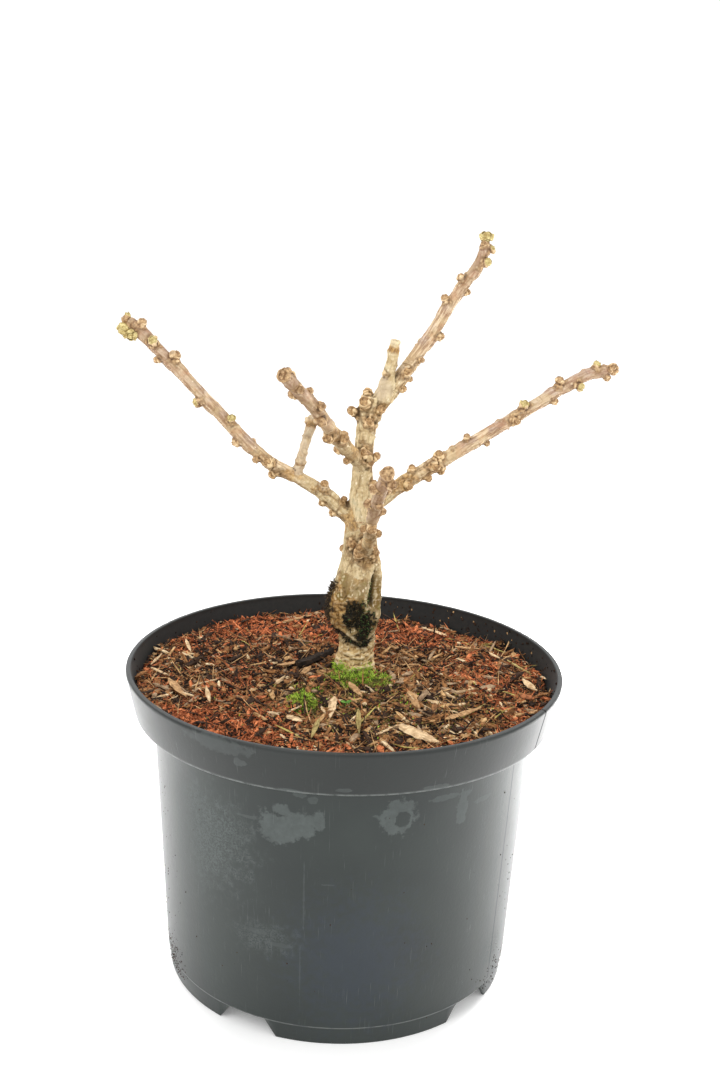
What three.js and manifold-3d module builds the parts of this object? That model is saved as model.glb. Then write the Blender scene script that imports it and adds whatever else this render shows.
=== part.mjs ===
// A small grafted ginkgo in its nursery pot, bare in late winter with its buds swelling.
// Millimetres and degrees, +Z up. The pot's axis is the Z axis, and the pot stands on z = 0.
// Azimuth is measured from +X towards +Y. The pot's front and the tree's front face -Y.

import * as THREE from "three";
import { mergeVertices } from "three/addons/utils/BufferGeometryUtils.js";
import Module from "manifold-3d";

const wasm = await Module();
wasm.setup();

// Driving dimensions of the pot
const GAP = 0.3;
const WALL = 1.7;
const POT_SIDES = 52;
const RIM = { radius: 113.8, height: 168.3, lip: 3 };
const BAND = { radius: 109.1, height: 145.1, body: 99.3 };
const FOOT = { step: 92.0, skirt: 91.4, radius: 90.6, height: 10 };
const PAD = { radius: 40, slope: 9 };
const NOTCH = { azimuths: [-119, -39.5, 61, 140.5], wide: 34, narrow: 21, height: 9.4 };
const DRAIN = { count: 8, radius: 5.5, circle: 70, sides: 10 };

// Driving dimensions of the soil and the moss
const SOIL = { middle: 162.2, edge: 157.6, dip: 1.7, dipAzimuth: 40, seat: 13, sectors: 36 };
const SOIL_RINGS = [13, 26, 40, 54, 68, 82, 94, 104];
const MOSS = [
  { name: "moss_cushion", x: 6, y: -12, long: 14.5, wide: 9.5, thick: 5.2, turn: -8 },
  { name: "moss_patch", x: -20, y: -38, long: 9, wide: 7, thick: 3.6, turn: 60 },
];

// Driving dimensions of the trunk: its flat cut, then lean and radius at each height above the cut
const CUT = new THREE.Vector3(5, 6, SOIL.middle + GAP);
const TRUNK_SIDES = 16;
const TRUNK = [
  { up: 0, lean: -0.3, radius: 10.6 },
  { up: 6, lean: 0, radius: 9.6 },
  { up: 16, lean: 0.9, radius: 8.9 },
  { up: 26, lean: 0.2, radius: 10.1 },
  { up: 34, lean: -0.4, radius: 12.3 },
  { up: 42, lean: -0.6, radius: 12.8 },
  { up: 50, lean: 0.4, radius: 11.8 },
  { up: 59, lean: 1.6, radius: 10.6 },
  { up: 68, lean: 1.0, radius: 8.9 },
  { up: 80, lean: 0.9, radius: 7.8 },
  { up: 91, lean: 0.9, radius: 6.8 },
  { up: 104, lean: 0.6, radius: 5.4 },
  { up: 121, lean: 1.0, radius: 4.8 },
  { up: 134, lean: 2.1, radius: 5.2 },
  { up: 143, lean: 3.2, radius: 5.4 },
  { up: 147, lean: 3.8, radius: 4.2 },
];
const CALLUS = { azimuth: -18, from: 34, to: 84, high: 2.0, spread: 30 };
const WOUND = { azimuth: -52, from: 30, to: 76, deep: 2.2, spread: 20 };

// Spurs on the trunk: height above the cut, azimuth, how far each stands out, radius
const TRUNK_SPURS = [
  { up: 58, azimuth: 195, out: 3.4, radius: 2.6 },
  { up: 62, azimuth: -120, out: 3.2, radius: 2.4 },
  { up: 66, azimuth: -35, out: 4.0, radius: 2.6 },
  { up: 71, azimuth: 60, out: 3.4, radius: 2.4 },
  { up: 86, azimuth: 120, out: 3.0, radius: 2.2 },
  { up: 98, azimuth: -20, out: 3.0, radius: 2.0 },
  { up: 111, azimuth: 10, out: 5.0, radius: 2.3 },
  { up: 116, azimuth: 110, out: 3.6, radius: 2.2 },
  { up: 127, azimuth: 40, out: 3.6, radius: 2.2 },
  { up: 131, azimuth: -75, out: 3.4, radius: 2.3 },
  { up: 134, azimuth: 186, out: 6.2, radius: 2.6 },
  { up: 136, azimuth: -22, out: 5.2, radius: 2.6 },
  { up: 141, azimuth: -115, out: 3.6, radius: 3.4 },
  { up: 143, azimuth: 100, out: 4.4, radius: 2.6 },
];

// The limbs. Each leaves the trunk's axis at a height above the cut. Azimuth and climb pass evenly
// through their values, first along the older bough up to its last growth ring, then along the young
// shoot. Radii are those at the trunk, at the ring and at the tip. A spur has its place along the limb
// and its turn about it: 0 on the upper side, 90 on the right hand of one who looks outwards.
const LIMBS = [
  {
    name: "left",
    from: 79,
    bough: { length: 57, azimuth: [178, 176, 175], climb: [41, 40, 27, 24] },
    shoot: { length: 99, azimuth: [175, 177], climb: [37, 46, 45, 45, 41] },
    radii: [3.9, 3.4, 2.5],
    spurs: [[13, 180], [18, 10], [23, 185], [30, -15], [38, 90], [50, 180], [55, -80], [61, -130],
      [68, 70], [74, 185], [84, -35], [93, 100], [102, 180], [115, 90], [126, 0], [131, 180],
      [139, -60], [144, 120], [149, 0], [154, 190], [155, 60]],
  },
  {
    name: "right",
    from: 83,
    bough: { length: 50, azimuth: [18, 16], climb: [46, 33, 25] },
    shoot: { length: 102, azimuth: [16, 15], climb: [30, 29, 30, 31, 29, 6] },
    radii: [3.9, 3.7, 2.5],
    spurs: [[18, -80], [26, 100], [33, 0], [38, 175], [43, 85], [46, 190], [48, 15], [57, -80], [66, 0],
      [74, 180], [85, -90], [92, 100], [100, 25], [108, -100], [116, 180], [123, 0], [131, 150],
      [138, -80], [144, 0], [149, 180], [151, 60]],
  },
  {
    name: "front_left",
    from: 112,
    bough: { length: 53, azimuth: [-112, -114], climb: [30, 30, 39] },
    shoot: { length: 51, azimuth: [-115, -117], climb: [39, 34, 33] },
    radii: [3.8, 3.3, 2.8],
    spurs: [[9, -60], [13, 150], [21, 100], [29, 0], [38, -95], [45, 170], [51, 40], [62, -150],
      [70, -80], [78, 0], [86, 110], [93, -110], [99, 30]],
  },
  {
    name: "front",
    from: 59,
    bough: { length: 55, azimuth: [-75, -86, -88], climb: [42, 42, 36] },
    shoot: { length: 61, azimuth: [-86, -83], climb: [35, 34, 35] },
    radii: [3.7, 3.2, 2.9],
    spurs: [[13, -85], [17, 95], [21, 0], [28, -40], [34, -95], [42, 110], [49, 180], [57, 20], [64, -90],
      [73, 80], [82, 190], [90, -60], [98, 100], [106, 0], [111, -140]],
  },
  {
    name: "leader",
    from: 135,
    bough: { length: 34, azimuth: [10, 12], climb: [53, 53] },
    shoot: { length: 71, azimuth: [12, 10], climb: [58, 54, 62, 55, 55, 84] },
    radii: [4.6, 4.2, 2.6],
    spurs: [[17, -90], [20, 170], [26, 180], [28, 85], [37, 130], [44, -85], [52, 175], [60, -100],
      [69, 0], [78, 185], [82, 0], [88, -90], [95, 140], [101, 190], [103, 60]],
  },
];

// Two short snags: the limb each grows from, the place along it, and its own course
const SNAGS = [
  { name: "left_snag", on: "left", at: 42, length: 31, azimuth: [85, 75, 65, 50], climb: [72, 66, 58, 32],
    radii: [2.9, 2.4, 2.1], spurs: [[14, 90], [22, -60]] },
  { name: "top_snag", on: "leader", at: 13, length: 30, azimuth: [-40, -40], climb: [72, 80, 80],
    radii: [4.4, 3.2, 2.5], spurs: [[12, 60], [18, -100]] },
];

const LIMB_SIDES = 7;
const LIMB_STEP = 9;
const SPUR = { out: 3.2, radius: 2.1, sides: 5, lean: 35 };
const TIP_BUD = { length: 5.5, radius: 3.1 };

const COLOURS = {
  pot: { color: 0x3d4343, roughness: 0.42, metalness: 0 },
  soil: { color: 0x6a3a24, roughness: 0.95, metalness: 0 },
  moss: { color: 0x6fa52c, roughness: 0.95, metalness: 0 },
  bark: { color: 0xa8906a, roughness: 0.85, metalness: 0 },
  shoot: { color: 0xa0785c, roughness: 0.7, metalness: 0 },
};

// Solids, joins and cuts
function solidOf(geometry) {
  const bare = geometry.index ? geometry.toNonIndexed() : geometry.clone();
  bare.deleteAttribute("normal");
  bare.deleteAttribute("uv");
  const merged = mergeVertices(bare, 1e-4);
  const corners = merged.index.array;
  const kept = [];
  for (let i = 0; i < corners.length; i += 3) {
    const [a, b, c] = [corners[i], corners[i + 1], corners[i + 2]];
    if (a !== b && b !== c && c !== a) kept.push(a, b, c);
  }
  const vertProperties = merged.attributes.position.array;
  return new wasm.Manifold(new wasm.Mesh({ numProp: 3, vertProperties, triVerts: new Uint32Array(kept) }));
}

function geometryOf(solid) {
  const { vertProperties, triVerts } = solid.getMesh();
  const geometry = new THREE.BufferGeometry();
  geometry.setAttribute("position", new THREE.BufferAttribute(vertProperties, 3));
  geometry.setIndex(new THREE.BufferAttribute(triVerts, 1));
  geometry.computeVertexNormals();
  return geometry;
}

// A cut can leave a crumb beside the piece: the largest body is the piece.
function largest(solid) {
  return solid.decompose().reduce((best, body) => (body.volume() > best.volume() ? body : best));
}

function through(values, t) {
  const place = Math.min(t, 0.9999) * (values.length - 1);
  const low = Math.floor(place);
  return values[low] + (values[Math.min(low + 1, values.length - 1)] - values[low]) * (place - low);
}

function heading(azimuth, climb) {
  const [a, c] = [THREE.MathUtils.degToRad(azimuth), THREE.MathUtils.degToRad(climb)];
  return new THREE.Vector3(Math.cos(a) * Math.cos(c), Math.sin(a) * Math.cos(c), Math.sin(c));
}

// Seeded numbers from 0 to 1
function seeded(seed) {
  let state = seed;
  return () => {
    state = (state * 16807) % 2147483647;
    return state / 2147483647;
  };
}

// A closed skin through rings of points, each ring facing the next, with a fan over either end
function skin(rings) {
  const sides = rings[0].length;
  const middle = (ring) => ring.reduce((sum, p) => sum.add(p), new THREE.Vector3()).divideScalar(sides);
  const points = [middle(rings[0]), ...rings.flat(), middle(rings.at(-1))];
  const faces = [];
  const last = points.length - 1;
  const corner = (ring, side) => 1 + ring * sides + (side % sides);
  for (let side = 0; side < sides; side += 1) {
    faces.push(0, corner(0, side + 1), corner(0, side));
    faces.push(last, corner(rings.length - 1, side), corner(rings.length - 1, side + 1));
    for (let ring = 0; ring + 1 < rings.length; ring += 1) {
      const [a, b] = [corner(ring, side), corner(ring, side + 1)];
      const [c, d] = [corner(ring + 1, side + 1), corner(ring + 1, side)];
      faces.push(a, b, c, a, c, d);
    }
  }
  const geometry = new THREE.BufferGeometry().setFromPoints(points);
  geometry.setIndex(faces);
  return geometry;
}

// The upper side and the right hand of a direction
function frameOf(direction) {
  const up = new THREE.Vector3(0, 0, 1).addScaledVector(direction, -direction.z).normalize();
  return { up, right: new THREE.Vector3().crossVectors(direction, up) };
}

// A round limb along stations of place, direction and radius, made larger all over by extra
function roundLimb(stations, sides, extra) {
  const rings = stations.map(({ place, direction, radius }, index) => {
    const { up, right } = frameOf(direction);
    const slide = index === 0 ? -extra : index === stations.length - 1 ? extra : 0;
    const centre = place.clone().addScaledVector(direction, slide);
    return Array.from({ length: sides }, (_, side) => {
      const angle = (side / sides) * 2 * Math.PI;
      return centre
        .clone()
        .addScaledVector(up, (radius + extra) * Math.cos(angle))
        .addScaledVector(right, (radius + extra) * Math.sin(angle));
    });
  });
  return solidOf(skin(rings));
}

// The course of one stretch: places every step, the heading passing through the values given
function course(start, { length, azimuth, climb }) {
  const steps = Math.round(length);
  const places = [start.clone()];
  for (let step = 0; step < steps; step += 1) {
    const t = (step + 0.5) / steps;
    const along = heading(through(azimuth, t), through(climb, t));
    places.push(places.at(-1).clone().addScaledVector(along, length / steps));
  }
  return { places, length };
}

function placeOn({ places, length }, along) {
  const at = THREE.MathUtils.clamp(along / length, 0, 1) * (places.length - 1);
  const low = Math.min(Math.floor(at), places.length - 2);
  const direction = places[low + 1].clone().sub(places[low]).normalize();
  return { place: places[low].clone().lerp(places[low + 1], at - low), direction };
}

// The pieces
function pot() {
  const inside = (radius) => radius - WALL;
  const floor = FOOT.height + WALL;
  const outline = [
    [0, 0], [PAD.radius, 0],
    [PAD.radius + PAD.slope, FOOT.height], [inside(FOOT.skirt), FOOT.height],
    [inside(FOOT.radius), 0], [FOOT.radius, 0], [FOOT.skirt, FOOT.height - 0.4], [FOOT.step, FOOT.height],
    [BAND.body, BAND.height], [BAND.radius, BAND.height + 0.2],
    [RIM.radius - 0.4, RIM.height - 1.4], [RIM.radius - 0.6, RIM.height - 0.3],
    [RIM.radius - RIM.lip / 2, RIM.height], [RIM.radius - RIM.lip, RIM.height - 0.8],
    [inside(BAND.radius), BAND.height + WALL],
    [inside(BAND.body), BAND.height + WALL - 0.4], [inside(FOOT.step), floor],
    [PAD.radius + PAD.slope - 1, floor], [PAD.radius - 1, WALL], [0, WALL],
  ].map(([r, z]) => new THREE.Vector2(r, z));
  const body = solidOf(new THREE.LatheGeometry(outline, POT_SIDES).rotateX(Math.PI / 2));
  const cuts = [...NOTCH.azimuths.map(notch), ...drainHoles()];
  return cuts.reduce((left, cut) => left.subtract(cut), body);
}

// A notch in the foot's skirt, wider at the floor
function notch(azimuth) {
  const below = 2;
  const reach = 24;
  const proud = 4;
  const shape = new THREE.Shape([
    new THREE.Vector2(-NOTCH.wide / 2, -below),
    new THREE.Vector2(NOTCH.wide / 2, -below),
    new THREE.Vector2(NOTCH.narrow / 2, NOTCH.height),
    new THREE.Vector2(-NOTCH.narrow / 2, NOTCH.height),
  ]);
  const bar = new THREE.ExtrudeGeometry(shape, { depth: reach, bevelEnabled: false });
  bar.rotateX(Math.PI / 2).translate(0, reach - FOOT.step - proud, 0);
  bar.rotateZ(THREE.MathUtils.degToRad(azimuth + 90));
  return solidOf(bar);
}

function drainHoles() {
  return Array.from({ length: DRAIN.count }, (_, index) => {
    const hole = new THREE.CylinderGeometry(DRAIN.radius, DRAIN.radius, 6, DRAIN.sides);
    hole.rotateX(Math.PI / 2).translate(DRAIN.circle, 0, FOOT.height + WALL / 2);
    hole.rotateZ(((index + 0.5) / DRAIN.count) * 2 * Math.PI);
    return solidOf(hole);
  });
}

// Height of the soil: a low mound that falls to the wall, lumpy but for the seat under the trunk
function soilHeight(x, y) {
  const radius = Math.hypot(x, y);
  const inner = Math.max(0, radius - SOIL.seat) / (SOIL_RINGS.at(-1) - SOIL.seat);
  const away = Math.cos(Math.atan2(y, x) - THREE.MathUtils.degToRad(SOIL.dipAzimuth));
  const fall = (SOIL.middle - SOIL.edge + SOIL.dip * away) * inner ** 1.6;
  const lumps = 1.1 * Math.sin(x / 7 + 1.3) * Math.cos(y / 9 - 0.4) + 0.7 * Math.sin(x / 4.3 - y / 5.1);
  return SOIL.middle - fall + lumps * Math.min(1, inner * 5);
}

function soil() {
  const wallAt = (z) => {
    const rise = (z - BAND.height) / (RIM.height - BAND.height);
    return BAND.radius + (RIM.radius - RIM.lip + WALL - BAND.radius) * rise - WALL - 2 * GAP;
  };
  const bottom = [
    { radius: PAD.radius - 1.5, z: WALL + GAP },
    { radius: PAD.radius + PAD.slope - 2, z: FOOT.height + WALL + GAP },
    { radius: FOOT.step - WALL - 3 * GAP, z: FOOT.height + WALL + GAP },
    { radius: BAND.body - WALL - 3 * GAP, z: BAND.height + WALL + GAP },
    { radius: wallAt(BAND.height + 2 * WALL), z: BAND.height + WALL + 2 * GAP },
  ];
  const ring = (radius, height) =>
    Array.from({ length: SOIL.sectors }, (_, sector) => {
      const angle = (sector / SOIL.sectors) * 2 * Math.PI;
      const [x, y] = [radius * Math.cos(angle), radius * Math.sin(angle)];
      return new THREE.Vector3(x, y, height ?? soilHeight(x, y));
    });
  const rim = ring(wallAt(SOIL.edge - SOIL.dip - 1.5));
  const rings = [
    ...bottom.map(({ radius, z }) => ring(radius, z)),
    rim,
    ...SOIL_RINGS.toReversed().map((radius) => ring(radius)),
  ];
  return solidOf(skin(rings));
}

function moss({ x, y, long, wide, thick, turn }) {
  const dome = new THREE.SphereGeometry(1, 12, 8);
  dome.rotateX(Math.PI / 2).scale(long, wide, thick);
  dome.rotateZ(THREE.MathUtils.degToRad(turn));
  dome.translate(x, y, soilHeight(x, y));
  return solidOf(dome);
}

// The trunk's axis at a height above the cut
function trunkAxis(up) {
  const above = TRUNK.findIndex((station) => station.up >= up);
  const high = TRUNK[Math.max(1, above)];
  const low = TRUNK[Math.max(1, above) - 1];
  const t = (up - low.up) / (high.up - low.up);
  const place = new THREE.Vector3(low.lean + (high.lean - low.lean) * t, 0, up).add(CUT);
  return { place, radius: low.radius + (high.radius - low.radius) * t };
}

// A swelling that fades to nothing at its ends and sides
function swelling({ azimuth, from, to, spread }, up, angle) {
  const along = THREE.MathUtils.clamp((up - from) / (to - from), 0, 1);
  const turn = THREE.MathUtils.euclideanModulo(angle - azimuth + 180, 360) - 180;
  return Math.sin(Math.PI * along) ** 0.7 * Math.exp(-((turn / spread) ** 2));
}

function trunk(extra) {
  const rings = TRUNK.map(({ up, lean, radius }) => {
    const low = up === 0 ? -extra : 0;
    const high = up === TRUNK.at(-1).up ? extra : 0;
    return Array.from({ length: TRUNK_SIDES }, (_, side) => {
      const angle = (side / TRUNK_SIDES) * 360;
      const ridge = CALLUS.high * swelling(CALLUS, up, angle) - WOUND.deep * swelling(WOUND, up, angle);
      const out = heading(angle, 0).multiplyScalar(radius + ridge + extra);
      return out.add(CUT).add(new THREE.Vector3(lean, 0, up + low + high));
    });
  });
  const spurs = TRUNK_SPURS.map(({ up, azimuth, out, radius }) => {
    const axis = trunkAxis(up);
    return knob(axis.place, heading(azimuth, SPUR.lean), axis.radius, out, radius, extra);
  });
  return joined([solidOf(skin(rings)), ...spurs]);
}

function joined(solids) {
  return solids.reduce((sum, solid) => sum.add(solid));
}

// A spur or bud: a stout knob from a limb's middle out past its skin, blunt at the end
function knob(place, direction, cover, out, radius, extra) {
  const profile = [[0, 1], [cover + out * 0.7, 1], [cover + out, 0.5]];
  const stations = profile.map(([reach, share]) => ({
    place: place.clone().addScaledVector(direction, reach),
    direction,
    radius: radius * share,
  }));
  return roundLimb(stations, SPUR.sides, extra);
}

// Spurs that fall between two places of a limb, their sizes varied by a seeded rule
function spursOn(line, offset, spurs, radiusAt, seed, extra) {
  const random = seeded(seed);
  return spurs
    .map(([along, turn]) => ({ along, turn, share: 0.75 + 0.5 * random() }))
    .filter(({ along }) => along > offset && along < offset + line.length)
    .map(({ along, turn, share }) => {
      const { place, direction } = placeOn(line, along - offset);
      const { up, right } = frameOf(direction);
      const angle = THREE.MathUtils.degToRad(turn);
      const lean = Math.tan(THREE.MathUtils.degToRad(SPUR.lean));
      const outwards = up.multiplyScalar(Math.cos(angle)).addScaledVector(right, Math.sin(angle));
      outwards.addScaledVector(direction, lean).normalize();
      return knob(place, outwards, radiusAt(along), SPUR.out * share, SPUR.radius * share, extra);
    });
}

// The stations of a limb's stretch from one place along it to another
function stations(line, offset, radiusAt, clear) {
  const count = Math.max(2, Math.round(line.length / LIMB_STEP));
  return Array.from({ length: count + 1 }, (_, index) => {
    const along = index === 0 ? clear : (line.length * index) / count;
    return { ...placeOn(line, along), radius: radiusAt(offset + along) };
  });
}

function limbLines({ from, bough, shoot }) {
  const inner = course(trunkAxis(from).place, bough);
  return { inner, outer: course(inner.places.at(-1), shoot) };
}

function limbRadius({ bough, shoot, radii }) {
  const total = bough.length + shoot.length;
  return (along) =>
    along < bough.length
      ? radii[0] + ((radii[1] - radii[0]) * along) / bough.length
      : radii[1] + ((radii[2] - radii[1]) * (along - bough.length)) / (total - bough.length);
}

function boughOf(limb, seed, extra) {
  const radiusAt = limbRadius(limb);
  const { inner } = limbLines(limb);
  const wood = roundLimb(stations(inner, 0, radiusAt, 0), LIMB_SIDES, extra);
  return joined([wood, ...spursOn(inner, 0, limb.spurs, radiusAt, seed, extra)]);
}

function shootOf(limb, seed, extra) {
  const radiusAt = limbRadius(limb);
  const { outer } = limbLines(limb);
  const offset = limb.bough.length;
  const wood = roundLimb(stations(outer, offset, radiusAt, GAP), LIMB_SIDES, extra);
  const end = placeOn(outer, outer.length);
  const bud = knob(end.place, end.direction, 0, TIP_BUD.length, TIP_BUD.radius, extra);
  return joined([wood, bud, ...spursOn(outer, offset, limb.spurs, radiusAt, seed, extra)]);
}

function snagOf(snag, seed, extra) {
  const host = LIMBS.find(({ name }) => name === snag.on);
  const start = placeOn(limbLines(host).inner, snag.at).place;
  const line = course(start, snag);
  const radiusAt = (along) => through(snag.radii, along / snag.length);
  const wood = roundLimb(stations(line, 0, radiusAt, 0), LIMB_SIDES, extra);
  return joined([wood, ...spursOn(line, 0, snag.spurs, radiusAt, seed, extra)]);
}

// The tree's pieces in the order they are cut: each is cut clear of those before it
const TREE = [
  { name: "trunk", look: "bark", make: trunk },
  ...LIMBS.map((limb, index) => ({
    name: `${limb.name}_bough`, look: "bark", make: (extra) => boughOf(limb, 11 + index, extra),
  })),
  ...LIMBS.map((limb, index) => ({
    name: `${limb.name}_shoot`, look: "shoot", make: (extra) => shootOf(limb, 31 + index, extra),
  })),
  ...SNAGS.map((snag, index) => ({
    name: snag.name, look: "bark", make: (extra) => snagOf(snag, 51 + index, extra),
  })),
];

function meshOf(name, look, solid) {
  const mesh = new THREE.Mesh(geometryOf(solid), new THREE.MeshStandardMaterial(COLOURS[look]));
  mesh.name = name;
  return mesh;
}

const plant = new THREE.Group();
const ground = soil();
plant.add(meshOf("pot", "pot", pot()));
plant.add(meshOf("soil", "soil", ground));

const cleared = [];
for (const { name, look, make } of TREE) {
  const piece = cleared.reduce((left, neighbour) => left.subtract(neighbour), make(0));
  plant.add(meshOf(name, look, largest(piece)));
  cleared.push(make(GAP));
}

const raisedGround = ground.translate([0, 0, GAP]);
for (const cushion of MOSS) {
  const piece = moss(cushion).subtract(raisedGround).subtract(ground).subtract(cleared[0]);
  plant.add(meshOf(cushion.name, "moss", largest(piece)));
}

export default plant;
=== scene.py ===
import itertools
import math

import bpy
import numpy as np
from mathutils import Matrix, Vector


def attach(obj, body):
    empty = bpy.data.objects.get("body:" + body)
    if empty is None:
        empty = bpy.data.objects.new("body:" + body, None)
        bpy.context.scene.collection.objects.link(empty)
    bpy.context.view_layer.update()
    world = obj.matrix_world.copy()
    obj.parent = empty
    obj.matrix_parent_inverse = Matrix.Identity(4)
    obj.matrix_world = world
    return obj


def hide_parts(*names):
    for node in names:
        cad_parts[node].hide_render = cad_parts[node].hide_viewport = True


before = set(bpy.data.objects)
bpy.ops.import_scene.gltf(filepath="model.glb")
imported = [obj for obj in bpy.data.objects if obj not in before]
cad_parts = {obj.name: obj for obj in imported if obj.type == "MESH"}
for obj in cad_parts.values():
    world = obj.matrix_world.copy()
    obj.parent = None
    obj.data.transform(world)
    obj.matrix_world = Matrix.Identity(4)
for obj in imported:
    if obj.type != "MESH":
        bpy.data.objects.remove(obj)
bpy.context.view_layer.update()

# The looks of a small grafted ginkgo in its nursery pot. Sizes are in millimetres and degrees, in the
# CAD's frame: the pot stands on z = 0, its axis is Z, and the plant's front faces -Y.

MM = 0.001

# The wood's voxels, and the shoots' as a share of them
VOXEL = 0.48
SHOOT_VOXEL = 0.75

# The pot's sizes
WALL = 1.7
RIM = {"radius": 113.8, "height": 168.3, "lip": 3}
BAND = {"radius": 109.1, "height": 145.1, "body": 99.3}
FOOT = {"step": 92.0, "skirt": 91.4, "radius": 90.6, "height": 10}
PAD = {"radius": 40, "slope": 9}
NOTCH = {"azimuths": (-119, -39.5, 61, 140.5), "wide": 34, "narrow": 21, "height": 9.4}
DRAIN = {"count": 8, "radius": 5.5, "circle": 70}
SEAMS = (-29, 151)

# Dried water marks on the pot: azimuth from the front, height, half width, half height, strength
SMUDGES = (
    (-17.5, 120, 7, 9, 0.85), (-12, 123, 6, 7.5, 0.85), (-16.5, 130, 3, 3.5, 0.8),
    (-5.8, 126.5, 2.0, 5.2, 0.75), (-27, 122.5, 4.5, 0.8, 0.5), (16.5, 128, 5.6, 10.5, 0.8),
    (30.5, 134.5, 5.5, 1.6, 0.55), (37.6, 133.6, 2.2, 2.2, 0.7), (36.8, 126, 2.1, 9.5, 0.75),
    (45, 127, 4.2, 1.5, 0.45), (-31, 164, 10, 4.4, 0.42), (-25, 157, 1.8, 2.4, 0.5),
    (-11, 139.4, 2.2, 1.6, 0.5), (-7.7, 137.4, 1.6, 2.2, 0.5), (-24, 60, 4, 1.6, 0.35),
    (-17, 55, 4.5, 1.4, 0.35), (-12, 146, 3.2, 1.3, 0.6), (24, 147, 3.6, 1.4, 0.6),
    (1, 148.6, 2.4, 1.2, 0.5), (-9.6, 84, 0.3, 21, 0.3), (-3, 92, 1.8, 0.5, 0.3),
    (-10.5, 40, 0.25, 15, 0.25), (150, 126, 8, 5, 0.3), (141, 119, 3, 9, 0.3), (-120, 108, 3, 14, 0.22),
    (-112, 96, 6, 3, 0.22), (98, 66, 6, 3, 0.25), (104, 60, 2, 8, 0.25), (-160, 150, 12, 3, 0.3),
    (75, 139, 7, 2.5, 0.3), (80, 131, 2, 6, 0.3),
)

# Dusty patches: azimuth from the front, height, half width, half height, strength
DUST = (
    (-42, 102, 18, 32, 1.0), (-34, 112, 9, 18, 0.9), (-22, 57, 12, 11, 0.55), (-48, 120, 9, 13, 1.0),
    (60, 30, 10, 12, 0.7), (175, 88, 12, 26, 0.8), (100, 110, 14, 16, 0.7),
)

# Dirt splashed on the wall: azimuth and its spread, height and its spread, how many crumbs
SPLASHES = (
    (-158, 5, 13, 11, 170), (-158, 8, 70, 60, 46), (-24, 7, 12, 10, 70), (-20, 6, 60, 40, 16),
    (-90, 70, 40, 40, 26), (100, 60, 16, 14, 60), (90, 80, 80, 60, 60),
)

# How many crumbs stick inside the wall above the soil, brown and pale
WALL_CRUMBS = 150
PALE_WALL_CRUMBS = 16

# The soil's surface, as in the source, and the cushions of moss
SOIL = {"middle": 162.2, "edge": 157.6, "dip": 1.7, "dip_azimuth": 40, "seat": 13, "out": 104}
MOSS = {
    "moss_cushion": {"x": 7, "y": -9.5, "long": 17.5, "wide": 9, "thick": 4.4, "turn": -6},
    "moss_patch": {"x": -20, "y": -38, "long": 11, "wide": 8, "thick": 2.4, "turn": 60},
}

# Ovals on the soil: x, y, how far each reaches along x and y, and how strong it is
HOLLOWS = ((42, 21, 8, 9, 3.0), (41, 62, 12, 9, 1.5))
RED_ZONES = ((-54, -68, 38, 19, 1), (-42, 74, 42, 22, 1), (36, 72, 32, 20, 1.1), (78, 16, 20, 26, 0.5))
OLIVE_ZONES = ((8, -44, 42, 30, 1), (56, -34, 30, 22, 0.3))
# Darker litter; behind the trunk on the right its dark bits are painted shade
DARK_ZONES = ((30, 66, 24, 20, 0.9), (-54, 22, 34, 26, 1.1), (34, 44, 24, 22, 1.5), (42, 22, 12, 12, 1))
LESS_BROWN = ((-54, 22, 34, 26, 0.5), (30, 66, 26, 22, 0.7))
THIN_MOSS = ((10, -34, 42, 30, 1),)

# The bed under the loose bits: its sides, its rings, its underside's height and inner radius
BED = {"sides": 300, "rings": 96, "bottom": 149.0, "inner": 60}

# How far the litter reaches from the pot's axis, and how clear it and the moss stay of the trunk's middle
LITTER_REACH = 107.5
TRUNK_GAP = {"litter": 11.5, "moss": 10}

# Where the sprout stands and how tall its stem is
SPROUT = {"x": 0.8, "y": -46, "tall": 2.2}

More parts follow.
